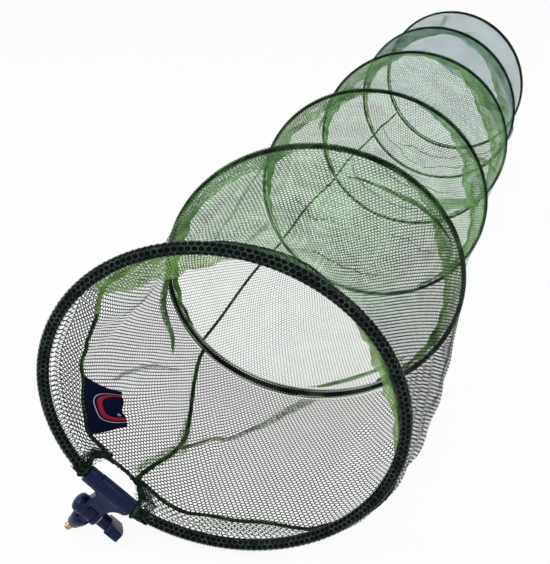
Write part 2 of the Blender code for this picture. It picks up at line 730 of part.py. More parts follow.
def make_foot(pivot):
    """The foot tilts about X: a tongue between the discs and a boss that holds the stud."""
    half = FORK_SLOT / 2 - FRICTION_THICKNESS - 2 * SEAT_GAP
    foot = turned("tilt_foot", rod(TONGUE_RADIUS, -half, half), 28, pivot, "navy_plastic")
    start = CHEEK_RADIUS + FOOT_CLEARANCE
    end = start + BOSS_LENGTH
    overlap = start + BOSS_CHAMFER
    stem = extruded("stem", [(-half, 0), (half, 0), (half, overlap), (-half, overlap)],
                    -STEM_SHARE * TONGUE_RADIUS, STEM_SHARE * TONGUE_RADIUS, pivot,
                    "navy_plastic")
    combine(foot, stem, "UNION")
    profile = [(start, 0), (start, BOSS_RADIUS - BOSS_CHAMFER),
               (start + BOSS_CHAMFER, BOSS_RADIUS), (start + BOSS_STRAIGHT, BOSS_RADIUS),
               (end - BOSS_CHAMFER, BOSS_NOSE + BOSS_CHAMFER), (end, BOSS_NOSE), (end, 0)]
    boss = turned("boss", profile, 28, pivot, "navy_plastic", axis="Z")
    combine(foot, boss, "UNION")
    bore = turned("foot_bore", rod(PIVOT_ROD + BORE_GAP, -half - OVERRUN, half + OVERRUN), 20,
                  pivot, "navy_plastic")
    combine(foot, bore, "DIFFERENCE")
    hole = turned("stud_hole", rod(STUD_RADIUS + SEAT_GAP, end - STUD_DEPTH, end + OVERRUN), 24,
                  pivot, "navy_plastic", axis="Z")
    combine(foot, hole, "DIFFERENCE")
    low, high = end - STUD_DEPTH + SEAT_GAP, end + STUD_REACH
    stud = [(low, 0), (low, STUD_RADIUS), (high - STUD_CHAMFER, STUD_RADIUS),
            (high, STUD_RADIUS - STUD_CHAMFER), (high, 0)]
    turned("brass_stud", stud, 24, pivot, "brass", axis="Z")


def make_knob(pivot):
    """Washer and T-shaped knob on the right of the fork."""
    bore = PIVOT_ROD + BORE_GAP
    washer_start = FORK_WIDTH / 2 + SEAT_GAP
    washer_end = washer_start + WASHER_THICKNESS
    turned("knob_washer", [(washer_start, bore), (washer_start, WASHER_RADIUS),
                           (washer_end, WASHER_RADIUS), (washer_end, bore)], 24, pivot, "steel")
    start = washer_end + SEAT_GAP
    shoulder = start + KNOB_NECK_LENGTH
    end = shoulder + KNOB_WING_DEPTH
    knob = turned("locking_knob", rod(KNOB_NECK_RADIUS, start, shoulder + KNOB_BEVEL), 24, pivot,
                  "navy_plastic")
    half = KNOB_WING_SPAN / 2
    outline = [(shoulder, half), (shoulder, -half)]
    outline += [(end - KNOB_CROWN * (step / 3) ** 2, half * step / 3) for step in range(-3, 4)]
    wing = extruded("wing", outline, -KNOB_WING_THICKNESS / 2, KNOB_WING_THICKNESS / 2, pivot,
                    "navy_plastic")
    bevel(wing, KNOB_BEVEL)
    combine(knob, wing, "UNION")
    thread_end = shoulder + KNOB_THREAD_SHARE * KNOB_WING_DEPTH
    hole = turned("knob_hole", rod(bore, start - OVERRUN, thread_end), 20, pivot, "navy_plastic")
    combine(knob, hole, "DIFFERENCE")


def centre_on_floor(net):
    """Put the origin in the middle of the underside of the finished object."""
    bpy.context.view_layer.update()
    graph = bpy.context.evaluated_depsgraph_get()
    corners = []
    for item in bpy.data.objects:
        if item.type == "MESH" and not item.hide_render:
            shape = item.evaluated_get(graph)
            corners += [shape.matrix_world @ vertex.co for vertex in shape.data.vertices]
    low = Vector([min(corner[i] for corner in corners) for i in range(3)])
    high = Vector([max(corner[i] for corner in corners) for i in range(3)])
    net.location = (-(low.x + high.x) / 2, -(low.y + high.y) / 2, -low.z)
    bpy.context.view_layer.update()


def main():
    clear_scene()
    net = empty("net_frame", None, Matrix.Identity(4))
    matrices = [hoop_matrix(index) for index in range(len(HOOP_TURNS_DEG))]
    frames = [empty(f"hoop_frame_{i + 1}", net, matrix) for i, matrix in enumerate(matrices)]
    make_mouth_hoop(frames[0])
    make_mouth_hem(frames[0], matrices)
    make_hoops(frames, matrices)
    make_panels(net, matrices)
    make_tag(net, matrices)
    make_base(frames[-1])
    block = empty("block_frame", frames[0], block_matrix())
    make_sleeve(block)
    axis = Matrix.Translation((NECK_CENTRE, 0, PIVOT_RISE))
    make_pivot(empty("pivot_frame", block, axis))
    make_foot(empty("tilt_frame", block, axis))
    turn = Matrix.Rotation(math.radians(KNOB_TURN_DEG), 4, "X")
    make_knob(empty("knob_frame", block, axis @ turn))
    centre_on_floor(net)


main()
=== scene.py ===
# %% [markdown]
# # A keep net, pulled out on the floor
#
# A keep net is a long tube of knitted netting that hoops hold open. The first hoop is a thick
# tube under the netting, with a hard plastic block on it that tilts on a bank stick. This lesson
# builds one from its solids: those give every size and place, and each cell adds one real thing.

# %% Load the solids
import math

import bmesh
import bpy
import numpy as np
from mathutils import Matrix, Vector


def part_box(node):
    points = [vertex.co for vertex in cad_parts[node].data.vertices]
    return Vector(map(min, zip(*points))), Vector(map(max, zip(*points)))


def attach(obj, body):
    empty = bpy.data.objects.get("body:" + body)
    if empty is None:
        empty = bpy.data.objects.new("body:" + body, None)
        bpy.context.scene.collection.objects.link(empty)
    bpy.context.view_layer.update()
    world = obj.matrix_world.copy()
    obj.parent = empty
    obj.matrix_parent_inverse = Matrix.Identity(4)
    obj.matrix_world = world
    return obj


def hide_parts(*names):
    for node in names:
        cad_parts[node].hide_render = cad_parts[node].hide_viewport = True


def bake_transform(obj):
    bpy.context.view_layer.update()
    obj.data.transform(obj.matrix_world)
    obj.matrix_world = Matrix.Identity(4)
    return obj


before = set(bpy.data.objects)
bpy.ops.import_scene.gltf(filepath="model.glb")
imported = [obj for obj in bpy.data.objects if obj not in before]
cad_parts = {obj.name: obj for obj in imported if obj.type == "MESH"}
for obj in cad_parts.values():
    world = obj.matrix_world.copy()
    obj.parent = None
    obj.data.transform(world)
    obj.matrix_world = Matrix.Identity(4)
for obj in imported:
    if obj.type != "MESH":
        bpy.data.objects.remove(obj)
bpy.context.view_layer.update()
bpy.ops.object.select_all(action="DESELECT")
MM = 0.001

# %% [markdown]
# ## The camera
#
# A camera is easiest to match with a few numbers that mean something: where it stands, how far
# it turns to the left, how far it looks down, and its lens. They were found by laying the six
# hoops over the picture. The view transform is Standard, so that a colour shows as written.

# %% Camera
CAMERA_PLACE = (0.2950, -1.5665, 0.6960)
CAMERA_LEFT_DEG = 19.0
CAMERA_DOWN_DEG = 25.08
CAMERA_LENS = 53.05

bpy.ops.object.camera_add(location=CAMERA_PLACE)
camera = bpy.context.object
camera.rotation_euler = (math.radians(90 - CAMERA_DOWN_DEG), 0, math.radians(CAMERA_LEFT_DEG))
camera.data.sensor_width = 36
camera.data.lens = CAMERA_LENS
bpy.context.scene.camera = camera
bpy.context.scene.view_settings.view_transform = "Standard"
print("camera height:", CAMERA_PLACE[2], "m")

# %% [markdown]
# ## Floor and light
#
# The net lies in a white studio. The floor is a large pale plane that glows white only where the
# camera or a reflection looks at it, and still takes a little shadow. Soft light comes from the
# world, and two large lamps give the rods and the block their long highlights.

# %% A white for everything round the net
BACKDROP_SHARE = 0.93


def add_node(tree, kind, **settings):
    """Add a node and set its fields and its sockets by name."""
    node = tree.nodes.new(kind)
    for name, value in settings.items():
        if hasattr(node, name):
            setattr(node, name, value)
        else:
            node.inputs[name.replace("_", " ")].default_value = value
    return node


def looked_at(tree, share):
    """A value that is share where the camera, a gloss or a glass ray looks, and else 0."""
    path = add_node(tree, "ShaderNodeLightPath")
    total = path.outputs["Is Camera Ray"]
    for ray in ("Is Glossy Ray", "Is Transmission Ray"):
        step = add_node(tree, "ShaderNodeMath", operation="MAXIMUM")
        tree.links.new(total, step.inputs[0])
        tree.links.new(path.outputs[ray], step.inputs[1])
        total = step.outputs[0]
    scaled = add_node(tree, "ShaderNodeMath", operation="MULTIPLY")
    scaled.inputs[1].default_value = share
    tree.links.new(total, scaled.inputs[0])
    return scaled.outputs[0]


# %% Floor
FLOOR_SIZE = 14
FLOOR_MIDDLE = (0, 2, 0)

bpy.ops.mesh.primitive_plane_add(size=FLOOR_SIZE, location=FLOOR_MIDDLE)
floor = bpy.context.object
floor.name = "studio_floor"
floor_finish = bpy.data.materials.new("studio_white")
floor_finish.use_nodes = True
tree = floor_finish.node_tree
tree.nodes.clear()
paint = add_node(tree, "ShaderNodeBsdfDiffuse", Color=(0.93, 0.93, 0.93, 1))
glow = add_node(tree, "ShaderNodeEmission", Color=(1, 1, 1, 1), Strength=1.0)
blend = add_node(tree, "ShaderNodeMixShader")
output = add_node(tree, "ShaderNodeOutputMaterial")
tree.links.new(looked_at(tree, BACKDROP_SHARE), blend.inputs[0])
tree.links.new(paint.outputs[0], blend.inputs[1])
tree.links.new(glow.outputs[0], blend.inputs[2])
tree.links.new(blend.outputs[0], output.inputs["Surface"])
floor.data.materials.append(floor_finish)
print("floor:", tuple(round(size, 1) for size in floor.dimensions))

# %% World
WORLD_STRENGTH = 0.6

world = bpy.data.worlds.new("studio")
bpy.context.scene.world = world
world.use_nodes = True
tree = world.node_tree
tree.nodes.clear()
soft = add_node(tree, "ShaderNodeBackground", Color=(0.95, 0.98, 1, 1), Strength=WORLD_STRENGTH)
bright = add_node(tree, "ShaderNodeBackground", Color=(1, 1, 1, 1), Strength=1.0)
blend = add_node(tree, "ShaderNodeMixShader")
output = add_node(tree, "ShaderNodeOutputWorld")
tree.links.new(looked_at(tree, 1.0), blend.inputs[0])
tree.links.new(soft.outputs[0], blend.inputs[1])
tree.links.new(bright.outputs[0], blend.inputs[2])
tree.links.new(blend.outputs[0], output.inputs["Surface"])
print("world strength:", WORLD_STRENGTH)

# %% Lamps
# Where each stands, its size in metres, its watts and its colour
LAMPS = {
    "lamp_left": ((-1.7, -1.9, 2.4), 1.6, 34, (1.0, 0.99, 0.97)),
    "lamp_right": ((2.15, -0.25, 1.8), 1.1, 30, (0.84, 0.92, 1.0)),
}
LAMPS_AIM = (0, -0.2, 0.15)

for name, (place, size, power, colour) in LAMPS.items():
    bpy.ops.object.light_add(type="AREA", location=place)
    lamp = bpy.context.object
    lamp.name = name
    lamp.data.size = size
    lamp.data.energy = power
    lamp.data.color = colour
    aim = Vector(LAMPS_AIM) - Vector(place)
    lamp.rotation_euler = aim.to_track_quat("-Z", "Y").to_euler()
print("lamps:", len(LAMPS))

# %% [markdown]
# ## Finishes
#
# Every finish is built from nodes that read the object's own coordinates, so nothing slides when
# a piece moves. Netting is spun nylon, and its dye is never even: one noise picks between a dark,
# a middle and a light tone, and finer noise raises the twisted fibres. The first bay has painted
# light and shade by height alone: its netting is nearly black where it lies low, and turns to a
# lighter green higher up.

# %% Helpers for finishes
def finish_of(name, colour, roughness, metallic=0.0, gloss=0.5):
    """A new material with its shader and its object coordinates."""
    made = bpy.data.materials.new(name)
    made.use_nodes = True
    shader = made.node_tree.nodes["Principled BSDF"]
    shader.inputs["Base Color"].default_value = (*colour, 1)
    shader.inputs["Roughness"].default_value = roughness
    shader.inputs["Metallic"].default_value = metallic
    shader.inputs["Specular IOR Level"].default_value = gloss
    place = add_node(made.node_tree, "ShaderNodeTexCoord").outputs["Object"]
    return made, shader, place


def noise_of(tree, place, size, detail=3.0, roughness=0.55):
    """Noise whose patches are about size metres across."""
    noise = add_node(tree, "ShaderNodeTexNoise", Scale=1 / size, Detail=detail)
    noise.inputs["Roughness"].default_value = roughness
    tree.links.new(place, noise.inputs["Vector"])
    return noise.outputs["Fac"]


def blend_of(tree, share, colours, stops=(0.35, 0.65)):
    """Colours laid over a value from 0 to 1."""
    ramp = add_node(tree, "ShaderNodeValToRGB")
    ramp.color_ramp.elements[0].position = stops[0]
    ramp.color_ramp.elements[1].position = stops[-1]
    for stop in stops[1:-1]:
        ramp.color_ramp.elements.new(stop)
    for element, colour in zip(ramp.color_ramp.elements, colours):
        element.color = (*colour, 1)
    tree.links.new(share, ramp.inputs["Fac"])
    return ramp.outputs["Color"]


def bump_of(tree, shader, height, strength, distance):
    """Let a value from 0 to 1 raise the surface, distance metres at most."""
    bump = add_node(tree, "ShaderNodeBump", Strength=strength, Distance=distance)
    tree.links.new(height, bump.inputs["Height"])
    tree.links.new(bump.outputs["Normal"], shader.inputs["Normal"])


# %% Netting finish
DYE_STOPS = (0.3, 0.5, 0.72)
FIBRE_SIZE, FIBRE_HEIGHT = 0.7 * MM, 0.2 * MM


def thread_finish(name, dark, middle, light, patch=45 * MM, painted_light_by_height=None):
    """Spun nylon: patches of dye, and twisted fibres along the thread.

    The last argument gives two heights, and three lighter colours that the netting turns to
    between them: painted light and shade by height.
    """
    made, shader, place = finish_of(name, middle, 0.7, gloss=0.03)
    tree = made.node_tree
    patches = noise_of(tree, place, patch, 4.0)
    dye_and_painted_light = blend_of(tree, patches, (dark, middle, light), DYE_STOPS)
    # Painted light and shade: the colours turn with height, from these below to lighter ones
    # above.
    if painted_light_by_height:
        low, high, *colours = painted_light_by_height
        split = add_node(tree, "ShaderNodeSeparateXYZ")
        tree.links.new(place, split.inputs[0])
        rise = add_node(tree, "ShaderNodeMapRange", interpolation_type="SMOOTHSTEP",
                        From_Min=low, From_Max=high)
        tree.links.new(split.outputs["Z"], rise.inputs["Value"])
        mixed = add_node(tree, "ShaderNodeMix", data_type="RGBA")
        tree.links.new(rise.outputs["Result"], mixed.inputs[0])
        tree.links.new(dye_and_painted_light, mixed.inputs[6])
        tree.links.new(blend_of(tree, patches, colours, DYE_STOPS), mixed.inputs[7])
        dye_and_painted_light = mixed.outputs[2]
    tree.links.new(dye_and_painted_light, shader.inputs["Base Color"])
    bump_of(tree, shader, noise_of(tree, place, FIBRE_SIZE, 2.0), 0.5, FIBRE_HEIGHT)
    return made


# %% Tones of the netting, each dark, middle and light
# The first bay's netting: painted light and shade by height, near black low down and lighter green
# higher up.
NET_NEAR = thread_finish("netting_near", (0.002, 0.004, 0.003), (0.006, 0.012, 0.007),
                         (0.024, 0.052, 0.024),
                         painted_light_by_height=(0.23, 0.37, (0.020, 0.050, 0.018), (0.105, 0.215, 0.090),
                                (0.27, 0.46, 0.24)))
NET_MIDDLE = thread_finish("netting_middle", (0.015, 0.050, 0.015), (0.095, 0.235, 0.085),
                           (0.25, 0.50, 0.20))
NET_FAR = thread_finish("netting_far", (0.020, 0.052, 0.042), (0.085, 0.195, 0.165),
                        (0.24, 0.41, 0.41))
# Doubled and folded netting: a brighter yellow green, painted light shining through the layers.
NET_GREEN_PAINTED_LIGHT = thread_finish("netting_double_painted_light", (0.060, 0.125, 0.030), (0.190, 0.345, 0.095),
                          (0.40, 0.58, 0.23), 30 * MM)
NET_FOLD = thread_finish("netting_fold", (0.020, 0.048, 0.014), (0.085, 0.165, 0.055),
                         (0.23, 0.36, 0.14), 30 * MM)
NET_POCKET = thread_finish("netting_pocket", (0.003, 0.006, 0.003), (0.011, 0.024, 0.010),
                           (0.048, 0.110, 0.034), 25 * MM)
NET_PALE = thread_finish("netting_base", (0.03, 0.09, 0.20), (0.10, 0.25, 0.50),
                         (0.30, 0.52, 0.82))
# Rolled edges and cords; the same dark tone on the creases is painted shade.
ROPE_DARK_AND_CREASE_SHADE = thread_finish("rolled_edge_and_crease_shade", (0.006, 0.012, 0.007), (0.018, 0.036, 0.018),
                          (0.050, 0.105, 0.036), 18 * MM)
EDGE_DARK = thread_finish("bound_edge", (0.006, 0.011, 0.008), (0.022, 0.036, 0.026),
                          (0.065, 0.105, 0.065), 10 * MM)
print("finishes so far:", len(bpy.data.materials))

# %% Rod, block, brass and cloth finishes
ROD_BLACK, shader, place = finish_of("rod_black", (0.001, 0.0014, 0.0017), 0.16, gloss=0.06)
tree = ROD_BLACK.node_tree
bump_of(tree, shader, noise_of(tree, place, 3 * MM), 0.15, 0.2 * MM)

BLOCK_NAVY, shader, place = finish_of("block_navy", (0.003, 0.008, 0.044), 0.3, gloss=0.16)
tree = BLOCK_NAVY.node_tree
tone = blend_of(tree, noise_of(tree, place, 9 * MM, 5.0),
                ((0.002, 0.006, 0.034), (0.005, 0.013, 0.064)), (0.3, 0.7))
tree.links.new(tone, shader.inputs["Base Color"])
bump_of(tree, shader, noise_of(tree, place, 0.5 * MM, 2.0), 0.25, 0.1 * MM)

BRASS, shader, place = finish_of("stud_brass", (0.62, 0.42, 0.20), 0.28, 1.0)
tree = BRASS.node_tree
tone = blend_of(tree, noise_of(tree, place, 2 * MM, 4.0),
                ((0.28, 0.17, 0.08), (0.60, 0.44, 0.25)), (0.3, 0.7))
tree.links.new(tone, shader.inputs["Base Color"])

STEEL, shader, place = finish_of("bolt_steel", (0.5, 0.51, 0.53), 0.3, 1.0)
bump_of(STEEL.node_tree, shader, noise_of(STEEL.node_tree, place, 0.6 * MM), 0.2, 0.1 * MM)
RUBBER, shader, place = finish_of("disc_rubber", (0.02, 0.02, 0.02), 0.8)
bump_of(RUBBER.node_tree, shader, noise_of(RUBBER.node_tree, place, 0.8 * MM), 0.4, 0.2 * MM)
print("finishes so far:", len(bpy.data.materials))

# %% [markdown]
# ## Where the hoops stand
#
# All netting hangs on six hoops, so their frames come first: a centre, a radius, how far each is
# turned and how far it leans. The numbers are those of the solids, and the cell ends by measuring
# how well the thin hoops agree with them. A point of netting is then given by an angle round the
# hoops and a share of the way from one hoop to the next, as a weaver would count meshes.

# %% Hoops
# Each hoop's centre and radius in mm, and how far it is turned and leans, both in degrees
HOOPS = (
    ((3.77, -898.72, 206.74), 192.5, 9.0, 5.1),
    ((4.05, -557.45, 204.90), 205.0, 12.1, 8.5),
    ((-1.32, -178.56, 200.56), 200.0, 2.2, 7.4),
    ((-1.41, 216.67, 200.15), 200.0, 1.8, 8.2),
    ((-7.30, 582.34, 199.87), 200.0, -9.5, 8.7),
    ((-7.90, 880.91, 200.26), 200.0, -11.6, 8.0),
)
ROD_RADIUS = 2.5 * MM
MOUTH_TUBE = 6.25 * MM


def hoop_axes(index):
    """A hoop's centre and its right, inward and up directions, with its radius in metres."""
    centre, radius, turn, lean = HOOPS[index]
    turn, lean = math.radians(turn), math.radians(lean)
    right = np.array((math.cos(turn), math.sin(turn), 0))
    level = np.array((-math.sin(turn), math.cos(turn), 0))
    rise = np.array((0, 0, 1))
    inward = level * math.cos(lean) + rise * math.sin(lean)
    up = rise * math.cos(lean) - level * math.sin(lean)
    return np.array(centre) * MM, right, inward, up, radius * MM


def beside_hoop(index, angle, back, out):
    """Points at an angle round a hoop, back into the net and out from the rod's centre line."""
    centre, right, inward, up, radius = hoop_axes(index)
    angle, back, out = np.broadcast_arrays(angle, back, out)
    reach = (radius + out)[..., None]
    return (centre + reach * np.cos(angle)[..., None] * right
            + reach * np.sin(angle)[..., None] * up + back[..., None] * inward)


apart = [np.linalg.norm(np.mean(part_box(f"hoop_{number}"), axis=0) - hoop_axes(number - 1)[0])
         for number in range(2, 7)]
print("thin hoops are within", round(float(max(apart)) / MM, 3), "mm of their solids' middles")

# %% [markdown]
# ## The shape of the netting
#
# Between two hoops the netting sinks at the top, draws in at the sides and spreads on the floor.
# The stitched line behind the mouth pulls it in on the left. On top of that go tension folds,
# which run from hoop to hoop and make the rows of meshes swing as they do in real netting.

# %% How the stitched line and the seams pull
BAY_ONE = 354 * MM
HEM_DEPTH = 48 * MM
STITCH_FADE = 270 * MM
# How far the stitched line pulls in, its direction and its reach, both in degrees
STITCH_DRAWS = ((22 * MM, 172, 42), (26 * MM, 10, 70), (14 * MM, 226, 24))
# Shares of each bay, and the seam's direction there in degrees
SEAM_PATHS = (
    ((0, 228), (0.3, 232), (0.43, 236), (0.62, 232), (1, 216.5)),
    ((0, 216), (1, 212)),
    ((0, 212), (1, 210.5)),
    ((0, 210.5), (1, 211)),
    ((0, 211), (1, 213)),
)


def turned_from(angle, degrees):
    """How far an angle is from a direction, from -180 to 180 degrees."""
    return (np.degrees(angle) - degrees + 180) % 360 - 180


def stitch_draw(angle, share):
    """How far the stitched line pulls the first bay in, mostly on the left and on the right."""
    back = share * BAY_ONE
    after = np.clip((back - HEM_DEPTH) / STITCH_FADE, 0, 1)
    fade = np.minimum(back / HEM_DEPTH, 1 - after * after * (3 - 2 * after))
    total = 0.0
    for draw, direction, reach in STITCH_DRAWS:
        away = np.minimum(1, abs(turned_from(angle, direction)) / reach)
        total = total + draw * (1 + np.cos(math.pi * away)) / 2
    return total * fade


def seam_direction(bay, share):
    """The direction of a bay's seam in degrees, with its corners rounded."""
    stops, turns = zip(*SEAM_PATHS[bay])
    return sum(np.interp(share + step, stops, turns) for step in (-0.08, -0.03, 0.03, 0.08)) / 4


print("the seam of bay 1 runs from", SEAM_PATHS[0][0][1], "to", SEAM_PATHS[0][-1][1], "degrees")

# %% Folds along a bay
FOLDS = 17
FAR_FOLDS = 1.7
LOBES = 2.2 * MM
SEAM_HOLD_DEG = 9
# Direction at the mouth and at the second hoop, width in degrees, height in mm
TENTS = ((150, 176, 7, -13), (173, 190, 6, 8), (198, 203, 5, -8), (300, 284, 6, -5))
MOUTH_SLACK, SLACK_DIRECTION, SLACK_REACH = 27 * MM, -44, 31


def mouth_slack(angle, share):
    """How far the first bay hangs out on the lower right, in uneven waves."""
    slack = MOUTH_SLACK * np.exp(-(turned_from(angle, SLACK_DIRECTION) / SLACK_REACH) ** 2)
    return slack * (1 + 0.18 * np.sin(0.21 * turned_from(angle, 0)) * np.sin(25 * share))


def tension_folds(bay, angle, share):
    """Folds that run along the bay, the same each time for one bay."""
    chance = np.random.default_rng(70 + bay)
    push = 0.0
    for _ in range(FOLDS):
        at, drift = chance.uniform(0, 360), chance.uniform(-38, 38)
        width, depth = chance.uniform(2.5, 8.0), chance.uniform(-6.0, 4.0) * MM
        away = turned_from(angle, at + drift * share)
        push = push + (FAR_FOLDS if bay > 1 else 1) * depth * np.exp(-(away / width) ** 2)
    lobes = np.sin(3 * angle + bay) + 0.6 * np.sin(7 * angle + 2 * bay + 5 * share)
    seam = turned_from(angle, seam_direction(bay, share))
    loose = 1 - 0.9 * np.exp(-(seam / SEAM_HOLD_DEG) ** 2)
    slack = 0.0
    if bay == 0:
        slack = mouth_slack(angle, share)
        for start, end, width, depth in TENTS:
            away = turned_from(angle, start + (end - start) * share)
            push = push + depth * MM * np.exp(-(away / width) ** 2)
    return ((push + LOBES * lobes) * loose + slack) * np.sin(math.pi * share) ** 0.8


print("folds in each bay:", FOLDS, "and", len(TENTS), "more in the first")

# %% The wall between two hoops
MOUTH_START = 7.4 * MM
POCKET_END = 9.3 * MM
NET_OUT = 0.95 * MM
FLOOR_CLEAR = 0.5 * MM
MOUTH_DROP = 24 * MM
TOP_PULL = 34 * MM
SIDE_DRAW = 14 * MM
RIGHT_DRAWS = (0, 26 * MM, 34 * MM, 34 * MM, 24 * MM)
SIDE_BULGE = 26 * MM


def wall(bay, angle, share, depth=0.0):
    """Points of the netting of a bay, depth metres inside its outer face."""
    angle, share, depth = np.broadcast_arrays(
        np.asarray(angle, float), np.asarray(share, float), np.asarray(depth, float))
    start = beside_hoop(bay, angle, MOUTH_START if bay == 0 else POCKET_END, NET_OUT)
    end = beside_hoop(bay + 1, angle, -POCKET_END, NET_OUT)
    spread = share[..., None]
    middle = hoop_axes(bay)[0] * (1 - spread) + hoop_axes(bay + 1)[0] * spread
    outward = start * (1 - spread) + end * spread - middle
    length = np.linalg.norm(outward, axis=-1)
    outward = outward / length[..., None]
    rise, side = np.sin(angle), abs(np.cos(angle))
    if bay == 0:
        fall = np.minimum(1, share * BAY_ONE / HEM_DEPTH) * (1 - share)
        length = length + MOUTH_DROP * fall * ((1 - rise) / 2) ** 2 - stitch_draw(angle, share)
    draw = SIDE_DRAW * side + RIGHT_DRAWS[bay] * np.maximum(0, np.cos(angle))
    pull = TOP_PULL * np.maximum(0, rise) + draw * (1 + rise) / 2
    bulge = SIDE_BULGE * side * np.maximum(0, -rise)
    slack = np.sin(math.pi * share)
    reach = length + slack * (bulge - pull) - depth + tension_folds(bay, angle, share)
    point = middle + outward * reach[..., None]
    point[..., 2] = np.maximum(point[..., 2], FLOOR_CLEAR + np.maximum(0, depth))
    return point


print("top of bay 2 sinks to", round(float(wall(1, math.pi / 2, 0.5)[2]), 3), "m")

# %% [markdown]
# ## Weaving meshes
#
# One mesh of the net is a hexagon. It is drawn once, as a circle with six corners, doubled into
# two rows, and repeated by two Array modifiers. The flat sheet is then laid on the shape above.
# Insetting each face and deleting what is inside leaves narrow ribbons, which is what knitted
# thread pressed flat looks like. A Wireframe modifier would give round threads, but with twice
# the faces, and a keep net has tens of thousands of meshes. Every opening is a real hole.

# %% A flat honeycomb
CORNER = 1 / math.sqrt(3)
JOIN_WITHIN = 0.01


def only(piece):
    """Select one piece and nothing else."""
    bpy.ops.object.select_all(action="DESELECT")
    piece.select_set(True)
    bpy.context.view_layer.objects.active = piece


def apply_all(piece):
    only(piece)
    for step in list(piece.modifiers):
        bpy.ops.object.modifier_apply(modifier=step.name)


def honeycomb(columns, rows):
    """A flat sheet of hexagons one unit across, rows being an even number."""
    bpy.ops.mesh.primitive_circle_add(vertices=6, radius=CORNER, fill_type="NGON")
    sheet = bpy.context.object
    bpy.ops.object.mode_set(mode="EDIT")
    bpy.ops.mesh.select_all(action="SELECT")
    bpy.ops.mesh.duplicate_move(
        TRANSFORM_OT_translate={"value": (0.5, 1.5 * CORNER, 0)})
    bpy.ops.mesh.select_all(action="SELECT")
    bpy.ops.mesh.remove_doubles(threshold=JOIN_WITHIN)
    bpy.ops.object.mode_set(mode="OBJECT")
    for count, offset in ((columns, (1, 0, 0)), (rows // 2, (0, 3 * CORNER, 0))):
        step = sheet.modifiers.new("repeat", "ARRAY")
        step.use_relative_offset = False
        step.use_constant_offset = True
        step.constant_offset_displace = offset
        step.count = count
        step.use_merge_vertices = True
        step.merge_threshold = JOIN_WITHIN
    apply_all(sheet)
    return sheet


print("one mesh is a hexagon with sides of", round(CORNER, 3), "of its width")

# %% From honeycomb to netting
MEASURE_STEPS = 240


def corners_of(piece):
    """All corners of a mesh, as rows of x, y and z."""
    flat = np.empty(len(piece.data.vertices) * 3)
    piece.data.vertices.foreach_get("co", flat)
    return flat.reshape(-1, 3)


def set_corners(piece, points):
    """Move all corners of a mesh at once."""
    piece.data.vertices.foreach_set("co", np.asarray(points, float).ravel())
    piece.data.update()


def laid_size(place):
    """The width and the length of a sheet as place lays it out."""
    share = np.linspace(0, 1, MEASURE_STEPS)

    def measured(points):
        return np.linalg.norm(np.diff(points, axis=0), axis=1).sum()

    across = measured(place(share, np.full(MEASURE_STEPS, 0.5)))
    lengths = [measured(place(np.full(MEASURE_STEPS, at), share))
               for at in (0.1, 0.3, 0.5, 0.7, 0.9)]
    return across, sum(lengths) / len(lengths)


def threads_from(net, width, merge=False):
    """Leave only a ribbon of thread along each edge of the meshes."""
    only(net)
    bpy.ops.object.mode_set(mode="EDIT")
    bpy.ops.mesh.select_all(action="SELECT")
    if merge:
        bpy.ops.mesh.remove_doubles(threshold=0.02 * MM)
    bpy.ops.mesh.inset(thickness=width / math.sqrt(3), use_individual=True,
                       use_even_offset=False)
    bpy.ops.mesh.delete(type="ONLY_FACE")
    bpy.ops.object.mode_set(mode="OBJECT")


def weave(name, columns, rows, place, finish, thread, closed=True, part=None):
    """Netting whose meshes are laid by place, from shares across and along to points.

    thread is its width. part gives the first row and the number of all rows, where the piece
    is part of a sheet.
    """
    net = honeycomb(columns, rows)
    first, total = part or (0, rows)
    across, along, _ = corners_of(net).T
    across = across / columns if closed else (across + 0.5) / (columns + 0.5)
    along = (along + CORNER * (1 + 1.5 * first)) / ((total - 1) * 1.5 * CORNER + 2 * CORNER)
    set_corners(net, place(across, along))
    threads_from(net, thread, closed)
    bpy.ops.object.shade_smooth()
    net.name = net.data.name = name
    net.data.materials.append(finish)
    width, length = laid_size(place)
    return net


print("a sheet is measured in", MEASURE_STEPS, "steps")

# %% Bodies, and pieces baked in place
BODIES = ("mouth", "bay_2", "bay_3", "bay_4", "bay_5", "bay_6")


def flow(piece):
    """Bake a piece's placement into its mesh."""
    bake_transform(piece)


print("bodies from mouth to end:", BODIES)

# %% Netting of the five bays
BAY_COLUMNS = (232, 256, 256, 248, 240)
BAY_ROWS = (64, 56, 60, 56, 44)
BAY_THREADS = (1.5, 0.95, 1.1, 1.15, 1.15)
BAY_FINISHES = (NET_NEAR, NET_MIDDLE, NET_MIDDLE, NET_FAR, NET_FAR)
MOUTH_NET_START = HEM_DEPTH + 0.3 * MM

for bay, (columns, rows) in enumerate(zip(BAY_COLUMNS, BAY_ROWS)):
    first = MOUTH_NET_START / BAY_ONE if bay == 0 else 0.0
    for half, end in enumerate(("near", "far")):
        def place(across, along, bay=bay, first=first):
            return wall(bay, 2 * math.pi * across, first + (1 - first) * along)

        piece = weave(f"netting_{bay + 1}_{end}", columns, rows // 2, place, BAY_FINISHES[bay],
                      BAY_THREADS[bay] * MM, part=(half * rows // 2, rows))
        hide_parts(f"net_panel_{bay + 1}")
        flow(piece)
        print(piece.name, len(piece.data.polygons), "faces")

# %% [markdown]
# ## Hoops and their pockets
#
# A thin hoop is a glass rod bent into a ring, so a torus is all it needs. It runs in a pocket: the
# netting is folded round it and sewn. The pocket's cross-section is a slim outline with seven
# points, and netting is laid round it. The second hoop's is wider at its lower left.

